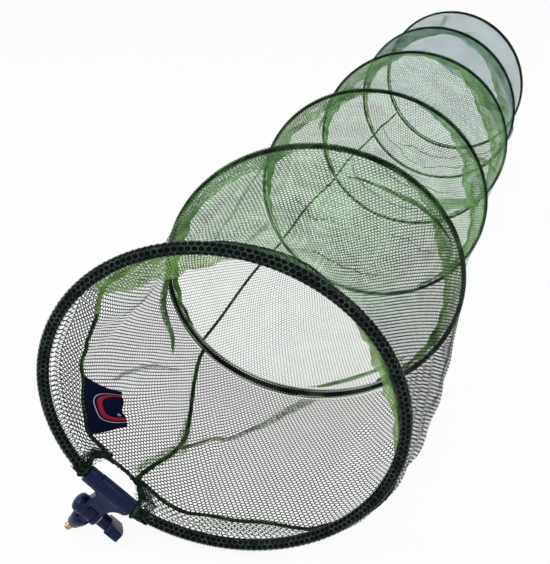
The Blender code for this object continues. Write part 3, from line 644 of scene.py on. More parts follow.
# %% Thin hoops
for index in range(1, 6):
    centre, right, inward, up, radius = hoop_axes(index)
    bpy.ops.mesh.primitive_torus_add(major_segments=160, minor_segments=12,
                                     major_radius=radius, minor_radius=ROD_RADIUS)
    rod = bpy.context.object
    turn = Matrix((right, up, -inward)).transposed().to_4x4()
    rod.matrix_world = Matrix.Translation(centre) @ turn
    only(rod)
    bpy.ops.object.transform_apply(location=True, rotation=True, scale=True)
    bpy.ops.object.shade_smooth()
    rod.name = f"rod_{index + 1}"
    rod.data.materials.append(ROD_BLACK)
    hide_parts(f"hoop_{index + 1}")
    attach(rod, BODIES[index])
    print(rod.name, "is", round(2 * radius / MM), "mm across")

# %% Pockets of netting round the thin hoops
# Millimetres back into the net and out from the rod, round the cross-section
POCKET = ((9.0, 0.9), (2.6, 3.3), (-2.6, 3.3), (-8.8, 0.0), (-2.6, -3.3), (2.6, -3.3),
          (9.0, -0.9))
WIDE_POCKET = ((11.0, 0.9), (3.8, 4.4), (-3.8, 4.4), (-10.5, 0.0), (-3.8, -4.4), (3.8, -4.4),
               (11.0, -0.9))
WIDE_AT, WIDE_REACH = 228, 62


def along_path(path, share):
    """Points along a path of straight stretches, by share of its length."""
    path = np.array(path, float)
    steps = np.concatenate(([0], np.cumsum(np.linalg.norm(np.diff(path, axis=0), axis=1))))
    return [np.interp(share * steps[-1], steps, path[:, i]) for i in range(path.shape[1])]


for index in range(1, 6):
    def place(across, along, index=index):
        angle = 2 * math.pi * across
        wide = np.exp(-(turned_from(angle, WIDE_AT) / WIDE_REACH) ** 4) if index == 1 else 0.0
        narrow, full = along_path(POCKET, along), along_path(WIDE_POCKET, along)
        back, out = (a * (1 - wide) + b * wide for a, b in zip(narrow, full))
        point = beside_hoop(index, angle, back * MM, out * MM)
        point[..., 2] = np.maximum(point[..., 2], FLOOR_CLEAR)
        return point

    # Meshes round the hoop and round the pocket, and the thread in mm
    columns, rows, thread = (300, 12, 1.9) if index == 1 else (240, 8, 1.2)
    pocket = weave(f"pocket_{index + 1}", columns, rows, place, NET_POCKET, thread * MM)
    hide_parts(f"hem_{index + 1}")
    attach(pocket, BODIES[index])
    print(pocket.name, len(pocket.data.polygons), "faces")

# %% [markdown]
# ## The mouth tube and the netting over it
#
# The mouth hoop is a thick glossy tube. It starts as a torus, and is pulled straight where it runs
# through the block's sleeve. The netting is folded over it and sewn to itself 48 mm further in, so
# one strip of meshes goes from the stitched line out over the tube and back again.

# %% Mouth tube
BLOCK_AT_DEG = 224.0
SLEEVE_HALF_DEG = 10.78


def onto_mouth(piece):
    """Turn a piece made flat in XY into the plane of the mouth hoop."""
    centre, right, inward, up, _ = hoop_axes(0)
    turn = Matrix((right, up, -inward)).transposed().to_4x4()
    piece.matrix_world = Matrix.Translation(centre) @ turn @ piece.matrix_world
    only(piece)
    bpy.ops.object.transform_apply(location=True, rotation=True, scale=True)
    bpy.ops.object.shade_smooth()


mouth_radius = hoop_axes(0)[4]
bpy.ops.mesh.primitive_torus_add(major_segments=240, minor_segments=20,
                                 major_radius=mouth_radius, minor_radius=MOUTH_TUBE)
tube = bpy.context.object
points = corners_of(tube)
angle = np.arctan2(points[:, 1], points[:, 0])
away = np.radians(abs(turned_from(angle, BLOCK_AT_DEG)))
straight = np.cos(np.radians(SLEEVE_HALF_DEG)) / np.cos(away) - 1
inward = np.where(np.degrees(away) < SLEEVE_HALF_DEG, mouth_radius * straight, 0)
points[:, 0] += inward * np.cos(angle)
points[:, 1] += inward * np.sin(angle)
set_corners(tube, points)
onto_mouth(tube)
tube.name = "mouth_tube"
tube.data.materials.append(ROD_BLACK)
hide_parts("mouth_hoop")
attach(tube, "mouth")
print("mouth tube:", round(2 * MOUTH_TUBE / MM, 1), "mm thick")

# %% Netting folded over the mouth tube
WRAP = 7.0 * MM
FOLD_START = 0.4 * HEM_DEPTH
INNER_DEPTH = 2.4 * MM
CLOSE_IN = 0.45


def round_mouth(share, closing=0.0):
    """Angles round the mouth hoop, from one end of the sleeve to the other.

    closing says how far the two cut edges close in behind the block.
    """
    half = SLEEVE_HALF_DEG * (1 - CLOSE_IN * closing)
    return np.radians(BLOCK_AT_DEG + half + share * (360 - 2 * half))


# Shares of the strip's length where the outer layer ends, the tube's round starts and ends, and
# the inner layer starts
FLAP_LEGS = np.array((0, 0.24, 0.38, 0.62, 0.76, 1))
FLAP_BEND_DEG = (67.5, 292.5)
# Where the outer layer sags: direction and reach in degrees, and how far in mm
FLAP_SAGS = ((254, 16, 9), (-52, 24, 9))


def mouth_flap(across, along):
    """Points of the folded netting: outer layer, round the tube, inner layer."""
    stitched, fold = HEM_DEPTH / BAY_ONE, FOLD_START / BAY_ONE
    leg = np.interp(along, FLAP_LEGS, np.arange(6))
    angle = round_mouth(across, np.interp(leg, np.arange(6), (1, 0.4, 0, 0, 0.4, 1)))
    bend = np.radians(np.interp(leg, (2, 3), FLAP_BEND_DEG))
    wound = beside_hoop(0, angle, WRAP * np.cos(bend), WRAP * np.sin(bend))
    depth = np.where(along > 0.5, INNER_DEPTH, 0)
    share = np.interp(leg, (0, 1, 4, 5), (stitched, fold, fold, stitched))
    sag = 0.0
    for degrees, reach, drop in FLAP_SAGS:
        sag = sag + drop * MM * np.exp(-(turned_from(angle, degrees) / reach) ** 2)
    sag = sag * np.sin(math.pi * np.clip((leg - 0.2) / 2.1, 0, 1))
    flap = wall(0, angle, share, depth - sag)
    near = np.interp(leg, (1, 2, 3, 4), (0, 1, 1, 0))[..., None]
    near = near * near * (3 - 2 * near)
    return flap * (1 - near) + wound * near


NET_WRAP = thread_finish("netting_wrap", (0.008, 0.013, 0.010), (0.032, 0.050, 0.041),
                         (0.075, 0.112, 0.086), 12 * MM)
flap = weave("mouth_netting", 172, 22, mouth_flap, NET_WRAP, 1.25 * MM, closed=False)
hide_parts("mouth_hem")
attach(flap, "mouth")
print("mouth netting:", len(flap.data.polygons), "faces")

# %% [markdown]
# ## Stitched lines, seams and rolled edges
#
# Where netting is sewn it rolls into a cord. Two or three strands twisted round one line give
# that look at any distance, and a zigzag of thin thread over it is the sewing. Both are curves
# with a round bevel, made into meshes.

# %% Twisted strands along a line
STRAND_SHARE = 0.55


def smooth_line(points, step):
    """The same line with a point every step metres."""
    points = np.asarray(points, float)
    runs = np.concatenate(([0], np.cumsum(np.linalg.norm(np.diff(points, axis=0), axis=1))))
    places = np.linspace(0, runs[-1], max(4, int(runs[-1] / step)))
    return np.stack([np.interp(places, runs, points[:, i]) for i in range(3)], axis=1), places


def swept(name, lines, radius, finish, sides=1):
    """A round bar along each line, as one mesh."""
    curve = bpy.data.curves.new(name, "CURVE")
    curve.dimensions = "3D"
    curve.bevel_depth = radius
    curve.bevel_resolution = sides
    curve.use_fill_caps = True
    for line in lines:
        spline = curve.splines.new("POLY")
        spline.points.add(len(line) - 1)
        spline.points.foreach_set("co", np.column_stack((line, np.ones(len(line)))).ravel())
    piece = bpy.data.objects.new(name, curve)
    bpy.context.collection.objects.link(piece)
    only(piece)
    bpy.ops.object.convert(target="MESH")
    piece = bpy.context.object
    bpy.ops.object.shade_smooth()
    piece.data.materials.append(finish)
    return piece


def frame_along(line, side):
    """Two directions square to a line at each of its points, the first near side."""
    tangent = np.gradient(line, axis=0)
    tangent /= np.linalg.norm(tangent, axis=1)[:, None]
    first = side - tangent * (side * tangent).sum(axis=1)[:, None]
    first /= np.linalg.norm(first, axis=1)[:, None]
    return first, np.cross(tangent, first)


def twisted(name, points, side, radius, pitch, finish, strands=2, fray=0.0, thick=None):
    """Strands wound round a line; fray makes their distance from it uneven."""
    line, places = smooth_line(points, pitch / 7)
    first, second = frame_along(line, np.broadcast_to(side, line.shape))
    lines = []
    for strand in range(strands):
        turn = 2 * math.pi * (places / pitch + strand / strands)
        loose = 1 + fray * np.sin(places * 310 + 9 * strand) * np.sin(places * 173 + strand)
        lines.append(line + radius * STRAND_SHARE * loose[:, None] * (
            np.cos(turn)[:, None] * first + np.sin(turn)[:, None] * second))
    return swept(name, lines, thick or radius * STRAND_SHARE, finish)


def sewn(name, points, side, width, pitch, radius, finish):
    """A zigzag of thin thread along a line."""
    line, _ = smooth_line(points, pitch / 2)
    first, _ = frame_along(line, np.broadcast_to(side, line.shape))
    swing = np.where(np.arange(len(line)) % 2, 1, -1)[:, None] * width / 2
    return swept(name, [line + first * swing], radius, finish)


print("a strand is", STRAND_SHARE, "of its cord's radius thick and as far from the middle")

# %% Stitched line behind the mouth
around = round_mouth(np.linspace(0, 1, 420), 1)
stitched = HEM_DEPTH / BAY_ONE
wander = stitched + 2.5 * MM / BAY_ONE * np.sin(5 * around + 1) * np.sin(11 * around)
line = wall(0, around, wander, 1.5 * MM)
inward = hoop_axes(0)[2]
cord = twisted("stitched_line", line, inward, 2.3 * MM, 11 * MM, ROPE_DARK_AND_CREASE_SHADE, 3, 0.25)
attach(cord, "mouth")
thread = sewn("stitched_thread", wall(0, around, wander, 3.2 * MM), inward, 7 * MM, 6 * MM,
              0.4 * MM, NET_FOLD)
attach(thread, "mouth")
print("stitched line:", round(float(np.linalg.norm(np.diff(line, axis=0), axis=1).sum()), 2), "m")

# %% Seams along the bays
ROPE_GREEN = thread_finish("rolled_seam", (0.010, 0.028, 0.010), (0.030, 0.080, 0.026),
                           (0.09, 0.20, 0.06), 18 * MM)
SEAM_POINTS = 90
SEAM_RADII = (2.9, 2.3, 2.2, 2.2, 2.2)
MOUTH_SEAM_START = 0.115

for bay, radius in enumerate(SEAM_RADII):
    share = np.linspace(MOUTH_SEAM_START if bay == 0 else 0.0, 1, SEAM_POINTS)
    angle = np.radians(seam_direction(bay, share)
                       + 0.7 * np.sin(5 * share + bay) * np.sin(math.pi * share))
    outward = wall(bay, angle, share, 0) - wall(bay, angle, share, 10 * MM)
    seam = twisted(f"seam_cord_{bay + 1}", wall(bay, angle, share, 2.2 * MM),
                   outward[SEAM_POINTS // 2], radius * MM, 12 * MM,
                   ROPE_DARK_AND_CREASE_SHADE if bay == 0 else ROPE_GREEN, 3, 0.3)
    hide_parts(f"seam_{bay + 1}")
    flow(seam)
print("seams:", len(SEAM_RADII))

# %% [markdown]
# ## Doubled netting and pleats
#
# Near each hoop the netting lies double, and loose netting folds over itself in long pleats. A
# second layer of finer meshes over the first gives the bands, and a narrow strip raised to a ridge
# gives each pleat. The bands, the fringe and the pleats past the first bay are a brighter green,
# which is painted light shining through the doubled netting. A frayed cord of five thin strands
# hangs along the stitched line at the top. Where the loose netting is only crushed, thin dark
# creases are loosely twisted lines laid on the same wall; they stand for threads drawn together,
# and their darkness is partly painted shade.

# %% Doubled netting inside the mouth
MOUTH_BAND_FROM, MOUTH_BAND_TO = -48, 136


def mouth_band(across, along):
    """Doubled netting that hangs loose just inside the mouth, mostly at the top."""
    angle = np.radians(MOUTH_BAND_FROM + (MOUTH_BAND_TO - MOUTH_BAND_FROM) * across)
    top = np.exp(-(turned_from(angle, 112) / 27) ** 2)
    right = np.exp(-(turned_from(angle, 8) / 40) ** 2)
    ragged = 2 * np.sin(9 * angle) + 2.5 * np.sin(23 * angle + 1) + np.sin(51 * angle)
    back = (5 + 30 * right + (12 + 16 * top + 10 * right) * along) * MM
    hang = (4 + (30 * top + 9 * right + ragged * (top + right)) * along) * MM
    return wall(0, angle, back / BAY_ONE, hang)


# Brighter green: painted light shining through the doubled netting.
band = weave("double_band_1", 170, 10, mouth_band, NET_GREEN_PAINTED_LIGHT, 1.5 * MM, closed=False)
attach(band, "mouth")
print(band.name, len(band.data.polygons), "faces")

# %% Fringe at the stitched line
FRINGE_FROM, FRINGE_TO = -52, 150
FRINGE_BACK, FRINGE_SWAY = 45 * MM, 4 * MM
FRINGE_SIZE = 3.4 * MM

fringe = np.radians(np.linspace(FRINGE_FROM, FRINGE_TO, 500))
back = FRINGE_BACK + FRINGE_SWAY * np.sin(14 * fringe) * np.sin(5 * fringe)
# Brighter green: painted light shining through the frayed netting.
edge = twisted("stitched_fringe", wall(0, fringe, back / BAY_ONE, FRINGE_SIZE), hoop_axes(0)[2],
               FRINGE_SIZE, 13 * MM, NET_GREEN_PAINTED_LIGHT, 5, 0.7, 0.55 * MM)
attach(edge, "mouth")
print(edge.name, len(edge.data.polygons), "faces")

# %% Doubled bands behind four thin hoops
# How far each band reaches in mm, on the right and at the top
BAND_REACH = {1: (150, 90), 2: (150, 125), 3: (230, 150), 4: (180, 135)}
BAND_FROM, BAND_TO = -62, 208


def band_width(index, angle):
    """How far the doubled netting reaches into the bay behind a hoop."""
    side, top = BAND_REACH[index]
    right = np.exp(-(turned_from(angle, 6) / 38) ** 2)
    above = np.exp(-(turned_from(angle, 122) / 46) ** 2)
    ragged = 1 + 0.16 * np.sin(6 * angle + index) + 0.12 * np.sin(17 * angle + 2 * index)
    return (7 + (side * right + top * above) * ragged + 2 * np.sin(29 * angle)) * MM


for index in BAND_REACH:
    def place(across, along, index=index):
        angle = np.radians(BAND_FROM + (BAND_TO - BAND_FROM) * across)
        length = np.linalg.norm(hoop_axes(index + 1)[0] - hoop_axes(index)[0])
        taper = np.clip(np.sin(math.pi * across), 0, 1) ** 0.4
        share = along * (2 * MM + taper * band_width(index, angle)) / length
        waves = 1.2 * MM * np.sin(40 * angle + 6 * along)
        hang = 26 * MM * np.exp(-(turned_from(angle, 4) / 34) ** 2) * np.sin(0.8 * math.pi * along)
        return wall(index, angle, share, 2.2 * MM + waves + hang)

    # Brighter green: painted light shining through the doubled netting.
    band = weave(f"double_band_{index + 1}", 190, 22, place, NET_GREEN_PAINTED_LIGHT, 1.8 * MM,
                 closed=False)
    flow(band)
    print(band.name, len(band.data.polygons), "faces")

# %% Pleats
PLEAT_MESH = 4.2 * MM
PLEAT_ROW = 8
# Each pleat's bay, its line and the height of its ridge in mm. Each place on the line is a
# direction in degrees, a share of the bay and the pleat's width in mm.
PLEATS = (
    (0, ((168, 0.96, 36), (177, 0.94, 30), (186, 0.91, 24), (198, 0.87, 16), (209, 0.82, 6)), 9),
    (0, ((234, 0.40, 4), (242, 0.55, 7), (250, 0.64, 8), (257, 0.74, 13), (263, 0.86, 19),
         (270, 0.98, 26)), 7),
    (0, ((196, 0.35, 4), (200, 0.50, 8), (206, 0.66, 8), (216, 0.80, 4)), 4),
    (0, ((130, 0.30, 14), (140, 0.50, 10), (150, 0.72, 5)), 4),
    (0, ((228, 0.16, 12), (232, 0.30, 16), (236, 0.44, 18), (232, 0.60, 12)), 6),
    (1, ((270, 0.02, 24), (282, 0.07, 22), (296, 0.13, 14), (308, 0.17, 6)), 7),
    (1, ((141, 0.75, 5), (160, 0.62, 10), (172, 0.48, 10), (184, 0.34, 4)), 4),
    (1, ((199, 0.97, 14), (198, 0.82, 9), (197, 0.62, 6), (196, 0.45, 3)), 5),
    (1, ((42, 0.10, 40), (30, 0.35, 34), (20, 0.60, 24), (8, 0.90, 12)), 6),
    (2, ((30, 0.05, 36), (18, 0.45, 30), (352, 0.80, 12)), 6),
    (2, ((120, 0.15, 20), (150, 0.50, 12), (170, 0.85, 6)), 5),
    (3, ((150, 0.10, 40), (160, 0.50, 26), (172, 0.90, 10)), 6),
    (3, ((40, 0.05, 46), (22, 0.50, 40), (5, 0.90, 20)), 6),
    (4, ((104, 0.05, 20), (100, 0.50, 16), (96, 0.95, 16)), 5),
    (0, ((352, 0.94, 5), (346, 0.75, 8), (340, 0.55, 12), (334, 0.34, 18)), 3),
    (0, ((74, 0.88, 8), (63, 0.90, 18), (54, 0.91, 24), (45, 0.94, 24), (34, 0.96, 20),
         (26, 0.96, 10)), 5),
)


def pleat_place(bay, line, height):
    """A strip along a line of the netting, raised to a ridge in its middle."""
    turns, shares, widths = np.array(line, float).T
    stops = np.linspace(0, 1, len(line))
    turns = np.unwrap(np.radians(turns))
    radius = hoop_axes(bay)[4]

    def place(across, along):
        side = (along - 0.5) * np.interp(across, stops, widths) * MM
        ridge = (1 - abs(2 * along - 1)) * height * MM * np.sin(math.pi * across) ** 0.5
        angle = np.interp(across, stops, turns) + (side + 1 * MM * np.sin(23 * across)) / radius
        return wall(bay, angle, np.interp(across, stops, shares), 1.5 * MM + ridge)

    return place


for number, (bay, line, height) in enumerate(PLEATS):
    turns, shares, widths = np.array(line, float).T
    points = wall(bay, np.unwrap(np.radians(turns)), shares)
    length = np.linalg.norm(np.diff(points, axis=0), axis=1).sum()
    rows = max(2, 2 * round(max(widths) / PLEAT_ROW))
    # Past the first bay a pleat is the brighter green of painted light shining through the folded
    # netting.
    pleat = weave(f"pleat_{number + 1}", max(8, int(length / PLEAT_MESH)), rows,
                  pleat_place(bay, line, height), NET_GREEN_PAINTED_LIGHT if bay else NET_FOLD, 1.3 * MM,
                  closed=False)
    flow(pleat)
print("pleats:", len(PLEATS))

# %% Creases, dark with painted shade
# Each crease's bay, its direction in degrees, its share of the bay and its sweep in degrees
CREASES = ((2, 250, 0.2, 40), (2, 286, 0.6, 46), (2, 215, 0.5, 30), (3, 240, 0.3, 60),
           (3, 262, 0.7, 52), (3, 290, 0.4, 44), (3, 318, 0.75, 40), (4, 232, 0.3, 40),
           (4, 258, 0.6, 56), (4, 284, 0.35, 50), (4, 305, 0.7, 42), (4, 330, 0.5, 36),
           (4, 128, 0.4, 30), (4, 84, 0.6, 34))

for number, (bay, degrees, at, sweep) in enumerate(CREASES):
    chance = np.random.default_rng(300 + number)
    step = np.linspace(-0.5, 0.5, 60)
    bend = sum(chance.uniform(-1, 1) / k * np.sin(2 * math.pi * k * step + chance.uniform(0, 6))
               for k in (1, 2, 4, 7))
    lean = chance.uniform(-0.4, 0.4)
    share = np.clip(at + lean * step + 0.05 * bend, 0.04, 0.96)
    line = wall(bay, np.radians(degrees + sweep * step), share, 1.6 * MM)
    # A crease is a dark cord: the threads drawn together, and painted shade in the fold.
    crease_shade = twisted(f"crease_{number + 1}", line, hoop_axes(bay)[2], 1.3 * MM, 15 * MM,
                     ROPE_DARK_AND_CREASE_SHADE, 2, 0.8, 0.5 * MM)
    flow(crease_shade)
print("creases:", len(CREASES))

# %% [markdown]
# ## Netting behind the block
#
# The hem is cut open where the sleeve sits. Behind the sleeve a short strip of netting carries
# on, and its cut edge is rolled and bound round both ends of the tube.

# %% Strip behind the sleeve
GUSSET_FRONT = 24.8 * MM
GUSSET_SCOOP = 20 * MM
GUSSET_DEPTH = 0.8 * MM


def gusset_front(across):
    """How far behind the mouth the strip starts; its edge is cut in a scoop."""
    return GUSSET_FRONT + GUSSET_SCOOP * np.sin(math.pi * np.clip(across, 0, 1)) ** 0.45


def gusset_place(across, along):
    """Points of the strip, from its scooped edge to the stitched line."""
    angle = np.radians(BLOCK_AT_DEG + (2 * across - 1) * (SLEEVE_HALF_DEG + 0.6))
    front = gusset_front(across)
    return wall(0, angle, (front + (HEM_DEPTH - front) * along) / BAY_ONE, GUSSET_DEPTH)


gusset = weave("gusset_netting", 14, 4, gusset_place, NET_WRAP, 1.1 * MM, closed=False)
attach(gusset, "mouth")
print("strip:", len(gusset.data.polygons), "faces")

# %% Bound edges at the ends of the sleeve
EDGE_OUT = WRAP + 1.2 * MM
CLOSING = math.radians(CLOSE_IN * SLEEVE_HALF_DEG)


def bound_edge(degrees, lean):
    """A line from the tube's outside, round it, and back along the flap's cut edge."""
    angle = math.radians(degrees)
    bend = np.radians(np.linspace(75, 285, 16))
    round_tube = beside_hoop(0, angle, EDGE_OUT * np.cos(bend), EDGE_OUT * np.sin(bend))
    back = np.linspace(FOLD_START, HEM_DEPTH, 6) / BAY_ONE
    outer = wall(0, angle + np.linspace(0, lean, 6), back, 0)[::-1]
    inner = wall(0, angle + np.linspace(0, lean, 6), back, INNER_DEPTH + 1 * MM)
    return np.concatenate((outer, round_tube, inner))


for name, degrees, lean in (
        ("bound_edge_left", BLOCK_AT_DEG - SLEEVE_HALF_DEG - 0.8, CLOSING),
        ("bound_edge_right", BLOCK_AT_DEG + SLEEVE_HALF_DEG + 0.8, -CLOSING)):
    edge = twisted(name, bound_edge(degrees, lean), beside_hoop(0, 0.0, 1.0, 0.0), 2.6 * MM,
                   14 * MM, EDGE_DARK, 6, 0.6, 0.75 * MM)
    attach(edge, "mouth")
    print(edge.name, len(edge.data.polygons), "faces")

# %% Bound edge of the strip
across = np.linspace(-0.04, 1.04, 60)
angle = np.radians(BLOCK_AT_DEG + (2 * across - 1) * (SLEEVE_HALF_DEG + 1))
line = wall(0, angle, gusset_front(across) / BAY_ONE, GUSSET_DEPTH)
edge = twisted("gusset_edge", line, inward, 3.0 * MM, 13 * MM, EDGE_DARK, 6, 0.6, 0.75 * MM)
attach(edge, "mouth")
print(edge.name, len(edge.data.polygons), "faces")

# %% Gathered netting at both ends of the sleeve
def gather_place(degrees, turn, lean):
    """Crumpled netting bunched round the tube's end and back along the cut edge."""
    path = bound_edge(degrees, lean)
    runs = np.linspace(0, 1, len(path))

    def place(across, along):
        middle = np.stack([np.interp(across, runs, path[:, i]) for i in range(3)], axis=-1)
        swing = 12 * MM * (along - 0.35) * turn
        angle = math.radians(degrees)
        _, right, inward, up, _ = hoop_axes(0)
        tangent = -math.sin(angle) * right + math.cos(angle) * up
        outward = math.cos(angle) * right + math.sin(angle) * up
        crumple = np.sin(31 * across + 9 * along) * np.sin(17 * across - 4 * along)
        push = 2.6 * MM * crumple + 1.2 * MM * np.sin(70 * across + 13 * along)
        return (middle + (swing + 1.6 * MM * np.sin(47 * across))[..., None] * tangent
                + push[..., None] * outward + (0.8 * push)[..., None] * inward)

    return place


for name, degrees, turn, lean in (
        ("gather_left", BLOCK_AT_DEG - SLEEVE_HALF_DEG - 2.0, -1.0, CLOSING),
        ("gather_right", BLOCK_AT_DEG + SLEEVE_HALF_DEG + 2.6, 1.8, -CLOSING)):
    gather = weave(name, 60, 8, gather_place(degrees, turn, lean), EDGE_DARK, 1.0 * MM,
                   closed=False)
    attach(gather, "mouth")
    print(gather.name, len(gather.data.polygons), "faces")

# %% [markdown]
# ## The closing net
#
# The far end is shut by a flat net of finer, paler meshes. It is a honeycomb cut to a circle, so
# it is made like the rest, with its corners beyond the rim deleted before the threads are made.

# %% A honeycomb cut to a circle
BASE_MESH = 6.0 * MM

centre, right, inward_6, up, radius = hoop_axes(5)
count = int(2 * radius / BASE_MESH) + 2
rows = 2 * int(radius / (1.5 * CORNER * BASE_MESH)) + 2
base = honeycomb(count, rows)
points = corners_of(base) * BASE_MESH
points[:, 0] -= points[:, 0].mean()
points[:, 1] -= points[:, 1].mean()
set_corners(base, points)
only(base)
bpy.ops.object.mode_set(mode="EDIT")
cut = bmesh.from_edit_mesh(base.data)
bpy.ops.mesh.select_all(action="DESELECT")
for corner in cut.verts:
    corner.select = corner.co.length > radius - 1 * MM
cut.select_flush_mode()
bpy.ops.mesh.delete(type="VERT")
bpy.ops.object.mode_set(mode="OBJECT")
print("meshes of the closing net:", len(base.data.polygons))

# %% Closing net
BASE_BACK = 10.5 * MM
BASE_THREAD = 1.1 * MM

flat = corners_of(base)
billow = 5 * MM * np.cos(flat[:, 0] * 14) * np.cos(flat[:, 1] * 11 + 1)
billow *= 1 - (np.hypot(flat[:, 0], flat[:, 1]) / radius) ** 2
points = (centre + flat[:, :1] * right + flat[:, 1:2] * up
          + (BASE_BACK + billow)[:, None] * inward_6)
points[:, 2] = np.maximum(points[:, 2], FLOOR_CLEAR)
set_corners(base, points)
threads_from(base, BASE_THREAD)
bpy.ops.object.shade_smooth()
base.name = "closing_net"
base.data.materials.append(NET_PALE)
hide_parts("net_base")
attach(base, "bay_6")
print("closing net:", len(base.data.polygons), "faces")

# %% Rolled rim of the closing net
RIM_CLEAR = 2.2 * MM

rim = beside_hoop(5, np.linspace(0, 2 * math.pi, 400), BASE_BACK, -1.5 * MM)
rim[:, 2] = np.maximum(rim[:, 2], RIM_CLEAR)
edge = twisted("closing_rim", rim, inward_6, 1.9 * MM, 10 * MM, ROPE_DARK_AND_CREASE_SHADE, 2, 0.2)
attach(edge, "bay_6")
print("rim's lowest line:", round(float(rim[:, 2].min()) / MM, 1), "mm above the floor")

# %% [markdown]
# ## The cloth label
#
# A woven label is sewn in at the stitched line, with its free end standing off the netting. It is
# a grid laid along the first bay by the same wall function, so it follows the netting's curve.
# Its print is a red sweep, a thin pale line and a few specks on navy. It reads the grid's own UV
# map, so it bends with the cloth.

# %% Label finish
PRINT_MIDDLE = (0.52, 0.95)
PRINT_STRETCH = 1.9


def worked(tree, operation, first, second):
    """One step of arithmetic, each side a number or another node's output."""
    step = add_node(tree, "ShaderNodeMath", operation=operation)
    for socket, value in zip(step.inputs, (first, second)):
        if isinstance(value, (int, float)):
            socket.default_value = value
        else:
            tree.links.new(value, socket)
    return step.outputs[0]


navy, red, pale = (0.004, 0.007, 0.028), (0.52, 0.02, 0.06), (0.60, 0.62, 0.66)
LABEL_CLOTH, shader, place = finish_of("label_cloth", navy, 0.75, gloss=0.05)
tree = LABEL_CLOTH.node_tree
sheet_place = add_node(tree, "ShaderNodeTexCoord").outputs["UV"]
split = add_node(tree, "ShaderNodeSeparateXYZ")
tree.links.new(sheet_place, split.inputs[0])
side = worked(tree, "SUBTRACT", split.outputs["X"], PRINT_MIDDLE[0])
side = worked(tree, "MULTIPLY", side, PRINT_STRETCH)
down = worked(tree, "SUBTRACT", split.outputs["Y"], PRINT_MIDDLE[1])
reach = worked(tree, "SQRT", worked(tree, "ADD", worked(tree, "MULTIPLY", side, side),
                                    worked(tree, "MULTIPLY", down, down)), 0.0)
rings = blend_of(tree, reach, (navy, red, red, navy, navy, pale, pale, navy),
                 (0.49, 0.505, 0.605, 0.62, 0.675, 0.685, 0.70, 0.71))
specks = add_node(tree, "ShaderNodeTexVoronoi", Scale=6.0, Randomness=0.8)
tree.links.new(sheet_place, specks.inputs["Vector"])
small = worked(tree, "LESS_THAN", specks.outputs["Distance"], 0.26)
inner = worked(tree, "MULTIPLY", small, worked(tree, "LESS_THAN", reach, 0.42))
mixed = add_node(tree, "ShaderNodeMix", data_type="RGBA")
tree.links.new(inner, mixed.inputs[0])
tree.links.new(rings, mixed.inputs[6])
mixed.inputs[7].default_value = (*pale, 1)
tree.links.new(mixed.outputs[2], shader.inputs["Base Color"])
weft = add_node(tree, "ShaderNodeTexWave", Scale=34.0, bands_direction="Y")
warp = add_node(tree, "ShaderNodeTexWave", Scale=60.0, bands_direction="X")
for threads in (weft, warp):
    tree.links.new(sheet_place, threads.inputs["Vector"])
bump_of(tree, shader, worked(tree, "ADD", weft.outputs["Fac"], warp.outputs["Fac"]), 0.5,
        0.15 * MM)
print("label finish: one red sweep, one pale line")

# %% Label
LABEL_HALF = 43 / HOOPS[0][1]
LABEL_LENGTH = 46 * MM
LABEL_START = 48.3 * MM
LABEL_SEAT = 4.1 * MM
LABEL_LIFT = 26 * MM

bpy.ops.mesh.primitive_grid_add(x_subdivisions=36, y_subdivisions=20, size=1, calc_uvs=True)
label = bpy.context.object
points = corners_of(label)
side, way = points[:, 0] * 2, points[:, 1] + 0.5
# The free end narrows, its right corner turns back and in, and its edge has a shallow notch
corner = np.clip(side * 0.9 + way - 1.05, 0, 1)
notch = np.exp(-((side - 0.25) / 0.22) ** 2) * way ** 3
drawn = np.where(side < 0, 1 - 0.52 * way, 1 - 0.34 * corner ** 2)
middle = np.radians(194 + 9 * way)
lift = LABEL_SEAT + LABEL_LIFT * way ** 1.5 + 1.4 * MM * np.sin(5 * side + 1) * way
lift = lift - 7 * MM * corner ** 2
reach = 1 + 0.16 * side - 0.62 * corner ** 2 - 0.18 * notch
share = (LABEL_START + way * LABEL_LENGTH * reach) / BAY_ONE
set_corners(label, wall(0, middle + side * LABEL_HALF * drawn, share, lift))
cloth = label.modifiers.new("thickness", "SOLIDIFY")
cloth.thickness = 0.9 * MM
cloth.offset = 0
apply_all(label)
bpy.ops.object.shade_smooth()
label.name = "label"
label.data.materials.append(LABEL_CLOTH)
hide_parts("tag")
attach(label, "mouth")
print("label:", len(label.data.polygons), "faces")

# %% [markdown]
# ## The block
#
# The block is moulded nylon, so no edge on it is sharp. Each solid is copied, its triangles are
# merged into flat faces again, and its edges are bevelled by a mould's small radius, which
# catches a thin line of light. The stud is turned brass with a real thread cut round it. The
# bolt, its washer and the two friction discs have the right shape as solids already, so they only
# get a finish.

# %% Moulded pieces
FLAT_WITHIN = math.radians(1.5)
ROUND_FROM = math.radians(32)
SHARP_FROM = math.radians(28)
# The solid each is made from, its edge radius in mm and its body
MOULDED = {"sleeve_and_fork": ("block_sleeve", 0.45, "mouth"),
           "end_collar": ("sleeve_collar", 0.4, "mouth"),
           "tilting_foot": ("tilt_foot", 0.35, "foot"),
           "pivot_cap": ("dome_cap", 0.15, "mouth"),
           "wing_knob": ("locking_knob", 0.4, "knob")}


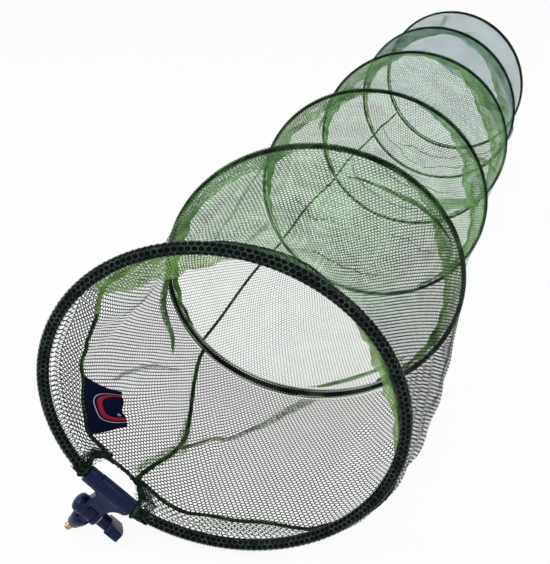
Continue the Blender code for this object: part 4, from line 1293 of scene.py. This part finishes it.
def moulded(name, node, radius, body):
    """A copy of a solid with flat faces merged and rounded edges."""
    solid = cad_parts[node]
    piece = bpy.data.objects.new(name, solid.data.copy())
    bpy.context.collection.objects.link(piece)
    only(piece)
    bpy.ops.object.mode_set(mode="EDIT")
    bpy.ops.mesh.select_all(action="SELECT")
    bpy.ops.mesh.remove_doubles(threshold=0.005 * MM)
    bpy.ops.mesh.dissolve_limited(angle_limit=FLAT_WITHIN)
    bpy.ops.object.mode_set(mode="OBJECT")
    rounded = piece.modifiers.new("mould radius", "BEVEL")
    rounded.width = radius
    rounded.segments = 2
    rounded.limit_method = "ANGLE"
    rounded.angle_limit = ROUND_FROM
    apply_all(piece)
    bpy.ops.object.shade_smooth_by_angle(angle=SHARP_FROM)
    piece.data.materials.clear()
    piece.data.materials.append(BLOCK_NAVY)
    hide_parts(node)
    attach(piece, body)
    print(name, len(piece.data.polygons), "faces")


for name, (node, radius, body) in MOULDED.items():
    moulded(name, node, radius * MM, body)

# %% Where the stud stands
# The longest of the three directions that singular values give is the stud's axis
points = corners_of(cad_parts["brass_stud"])
middle = points.mean(axis=0)
_, _, ways = np.linalg.svd(points - middle)
axis = ways[0] * np.sign(ways[0] @ (middle - np.mean(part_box("tilt_foot"), axis=0)))
along = (points - middle) @ axis
centre = middle + axis * (along.max() + along.min()) / 2
half = (along.max() - along.min()) / 2
print("stud:", round(2 * half / MM, 1), "mm long")

# %% Threaded stud
STUD_RADIUS = 4.76 * MM
STUD_LEAD = 0.9 * MM
STUD_CHAMFER = 0.6 * MM
THREAD_PITCH = 1.27 * MM
THREAD_DEPTH = 0.55 * MM

bpy.ops.mesh.primitive_grid_add(x_subdivisions=30, y_subdivisions=150, size=1)
stud = bpy.context.object
points = corners_of(stud)
turn, way = 2 * math.pi * points[:, 0], np.clip((points[:, 1] + 0.5) * 1.04 - 0.02, 0, 1)
height = (2 * way - 1) * half
# A thread is a groove whose height turns with the angle, one pitch for each turn
groove = abs(((height / THREAD_PITCH - turn / (2 * math.pi)) % 1) * 2 - 1)
lead = np.clip((half - abs(height)) / STUD_LEAD, 0, 1)
reach = STUD_RADIUS - THREAD_DEPTH * groove - STUD_CHAMFER * (1 - lead)
reach[abs(points[:, 1]) > 0.4999] = 0
first = np.cross(axis, (0.0, 0.0, 1.0))
first /= np.linalg.norm(first)
second = np.cross(axis, first)
set_corners(stud, centre + height[:, None] * axis + (reach * np.cos(turn))[:, None] * first
            + (reach * np.sin(turn))[:, None] * second)
only(stud)
bpy.ops.object.mode_set(mode="EDIT")
bpy.ops.mesh.select_all(action="SELECT")
bpy.ops.mesh.remove_doubles(threshold=0.002 * MM)
bpy.ops.mesh.normals_make_consistent(inside=False)
bpy.ops.object.mode_set(mode="OBJECT")
bpy.ops.object.shade_smooth_by_angle(angle=math.radians(40))
stud.name = "threaded_stud"
stud.data.materials.append(BRASS)
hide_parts("brass_stud")
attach(stud, "foot")
print("stud:", len(stud.data.polygons), "faces")

# %% Finishes of the solids that stay
CARRIED = {"pivot_bolt": STEEL, "knob_washer": STEEL, "friction_disc_left": RUBBER,
           "friction_disc_right": RUBBER}
for node, finish in CARRIED.items():
    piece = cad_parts[node]
    piece.data.materials.clear()
    piece.data.materials.append(finish)
print("solids that stay:", len(CARRIED))
